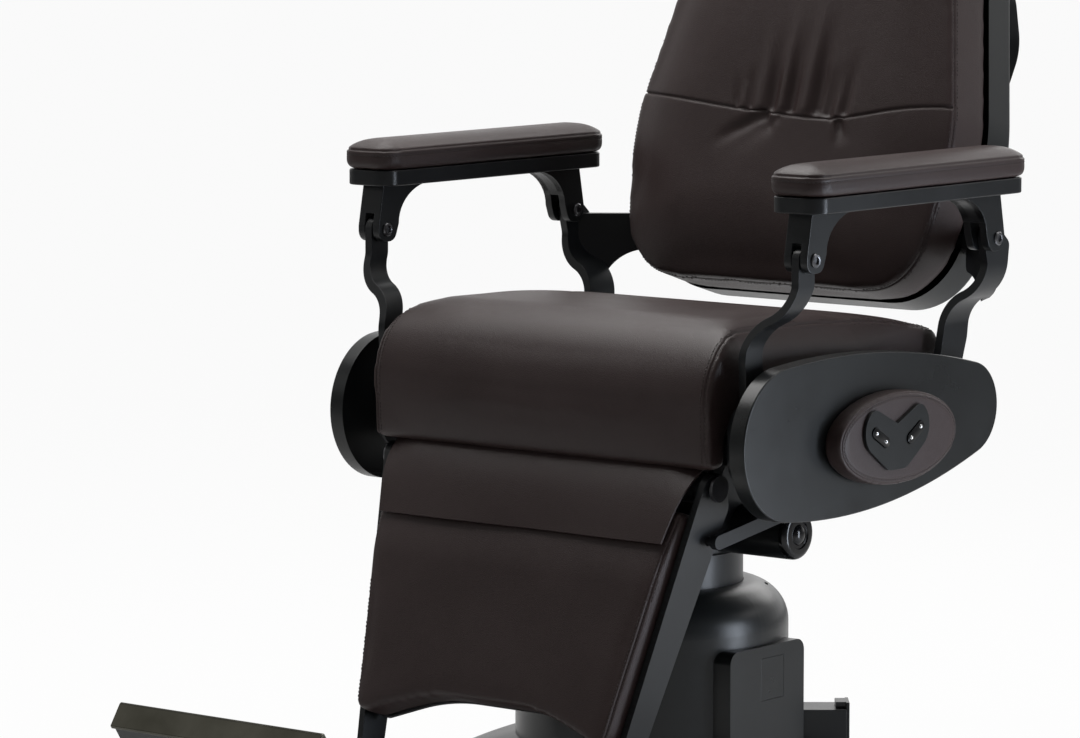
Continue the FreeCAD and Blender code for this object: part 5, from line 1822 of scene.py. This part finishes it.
@dataclass
class RearHandle:
    """Hump across the shell's rear with dished ends. Millimetres on the back."""

    half: float = 190.0
    rim: float = 8.0
    dish: float = 12.0
    edge: float = 1.6
    section: tuple[tuple[float, float, float], ...] = (
        (116.6, 245.0, 0.0),
        (160.1, 278.0, 50.0),
        (174.6, 335.75, 60.0),
        (145.6, 393.5, 40.0),
        (116.6, 410.0, 0.0),
    )

    def build(self, shop: Upholsterer) -> None:
        """Extrude the hump, dish its ends and round it."""
        points = [mm(-self.half, depth, v) for depth, v in rounded(self.section, 16)]
        bm = prism(points, Vector((2 * self.half * MM, 0.0, 0.0)))
        for side in SIDES:
            ends = [face for face in bm.faces if face.normal.x * side > 0.99]
            hollow(bm, ends, self.rim * MM, Vector((-side * self.dish * MM, 0.0, 0.0)))
        round_edges(bm, self.edge * MM, 3)
        bm.transform(BACK.matrix())
        shop.fit("rear_handle_dished", bm, "rear_handle")


# Studio


@dataclass
class Studio:
    """Camera at the photograph's angle, soft light and a pale floor."""

    azimuth: float = 39.18
    elevation: float = 6.581
    distance: float = 6.1172
    target: tuple[float, float, float] = (-0.168, 0.0, 0.5122)
    lens: float = 173.01
    floor_half: float = 80.0
    floor_glow: float = 0.95
    floor_mirrored: float = 0.1
    world_light: float = 0.12
    dark_side: float = 0.12

    def build(self) -> None:
        """Make the camera, the world, the floor and the lamps."""
        scene = bpy.context.scene
        scene.view_settings.view_transform = "Standard"
        self._camera(scene)
        self._world(scene)
        self._floor()
        white = (1.0, 0.99, 0.98)
        self._lamp("top_softbox", (-0.7, 0.1, 2.7), (0.0, 0.0, 0.55), (2.4, 1.8), 55.0, white)
        self._lamp("high_softbox", (0.9, 0.9, 2.4), (0.0, 0.0, 0.5), (0.8, 0.8), 10.0, white)
        self._lamp("left_softbox", (-2.6, -2.4, 2.2), (0.0, 0.0, 0.6), (1.2, 1.6), 3.0, white)
        self._lamp("right_softbox", (1.24, 0.42, 0.34), (0.3, -0.15, 0.5), (0.3, 0.7), 7.2, (0.80, 0.88, 1.0))
        self._lamp("corner_softbox", (1.5, 1.7, 1.7), (0.0, 0.0, 0.5), (1.0, 1.0), 3.5, white)
        self._lamp("rear_softbox", (-0.5, 2.4, 1.4), (0.0, 0.0, 0.45), (1.6, 0.8), 8.0, white)

    def _towards(self) -> Vector:
        """Direction from the chair to the camera."""
        turn = math.radians(self.azimuth)
        rise = math.radians(self.elevation)
        return Vector((math.sin(turn) * math.cos(rise), -math.cos(turn) * math.cos(rise), math.sin(rise)))

    def _camera(self, scene: bpy.types.Scene) -> None:
        """Aim the camera."""
        back = self._towards()
        data = bpy.data.cameras.new("camera")
        data.lens = self.lens
        data.sensor_width = 36.0
        data.clip_end = 200.0
        camera = bpy.data.objects.new("camera", data)
        camera.location = Vector(self.target) + back * self.distance
        camera.rotation_euler = back.to_track_quat("Z", "Y").to_euler()
        scene.collection.objects.link(camera)
        scene.camera = camera

    def _seen(self, sketch: Sketch, mirrored: object) -> Socket:
        """A share of 1 for camera rays, and another share for mirrored rays and rays through glass."""
        path = sketch.add("ShaderNodeLightPath").outputs
        other = sketch.calc("MAXIMUM", path["Is Glossy Ray"], path["Is Transmission Ray"])
        return sketch.calc("MAXIMUM", path["Is Camera Ray"], sketch.calc("MULTIPLY", other, mirrored))

    def _world(self, scene: bpy.types.Scene) -> None:
        """White where it is seen, paler behind the chair than behind the camera, soft light elsewhere."""
        world = bpy.data.worlds.new("studio")
        world.use_nodes = True
        scene.world = world
        sketch = Sketch(world.node_tree)
        look = sketch.add("ShaderNodeTexCoord").outputs["Generated"]
        facing = sketch.add("ShaderNodeVectorMath", {"operation": "DOT_PRODUCT"})
        sketch.feed(facing.inputs[0], look)
        sketch.feed(facing.inputs[1], -self._towards())
        pale = sketch.add(
            "ShaderNodeMapRange",
            Value=facing.outputs["Value"],
            From_Min=0.1,
            From_Max=0.95,
            To_Min=self.dark_side,
            To_Max=1.0,
        )
        light = sketch.add("ShaderNodeBackground", Color=(1.0, 1.0, 1.0, 1.0), Strength=self.world_light)
        white = sketch.add("ShaderNodeBackground", Color=(1.0, 1.0, 1.0, 1.0), Strength=1.0)
        black = sketch.add("ShaderNodeBackground", Color=(0.0, 0.0, 0.0, 1.0), Strength=0.0)
        seen = self._seen(sketch, pale.outputs["Result"])
        shade = sketch.blend(seen, black.outputs["Background"], white.outputs["Background"])
        scattered = sketch.add("ShaderNodeLightPath").outputs["Is Diffuse Ray"]
        mix = sketch.blend(scattered, shade, light.outputs["Background"])
        sketch.add("ShaderNodeOutputWorld", Surface=mix)

    def _floor(self) -> None:
        """Pale floor that keeps the chair's shadow."""
        bm = bmesh.new()
        bmesh.ops.create_grid(bm, x_segments=2, y_segments=2, size=self.floor_half)
        floor = to_object("floor", bm)
        material = bpy.data.materials.new("pale_floor")
        material.use_nodes = True
        sketch = Sketch(material.node_tree)
        matt = sketch.add("ShaderNodeBsdfDiffuse", Color=(0.82, 0.82, 0.82, 1.0))
        white = sketch.add("ShaderNodeEmission", Color=(1.0, 1.0, 1.0, 1.0), Strength=1.0)
        share = sketch.calc("MULTIPLY", self._seen(sketch, self.floor_mirrored), self.floor_glow)
        mix = sketch.blend(share, matt.outputs["BSDF"], white.outputs["Emission"])
        sketch.add("ShaderNodeOutputMaterial", Surface=mix)
        floor.data.materials.append(material)

    def _lamp(
        self,
        name: str,
        place: tuple[float, float, float],
        aim: tuple[float, float, float],
        size: tuple[float, float],
        power: float,
        colour: tuple[float, float, float],
    ) -> None:
        """Hang a softbox."""
        data = bpy.data.lights.new(name, "AREA")
        data.shape = "RECTANGLE"
        data.size, data.size_y = size
        data.energy = power
        data.color = colour
        lamp = bpy.data.objects.new(name, data)
        lamp.location = place
        lamp.rotation_euler = (Vector(place) - Vector(aim)).to_track_quat("Z", "Y").to_euler()
        bpy.context.scene.collection.objects.link(lamp)


def main() -> None:
    """Dress the chair and light it."""
    logging.basicConfig(level=logging.INFO, format="%(name)s: %(message)s")
    wardrobe = Wardrobe()
    wardrobe.dress_nodes()
    shop = Upholsterer(wardrobe)
    pieces: Iterable = (
        *CASTINGS,
        TubeCaps(),
        HingeTube(),
        ArmBases(),
        ArmBolts(),
        SideCovers(),
        Keypads(),
        BackShell(),
        RearHandle(),
        SeatCushion(),
        BackCushion(),
        ArmPad(),
        LegrestPad(),
        SidePad(),
        HeadrestPad(),
        FrontFlap(),
    )
    for piece in pieces:
        piece.build(shop)
    Studio().build()


if __name__ == "__main__":
    main()
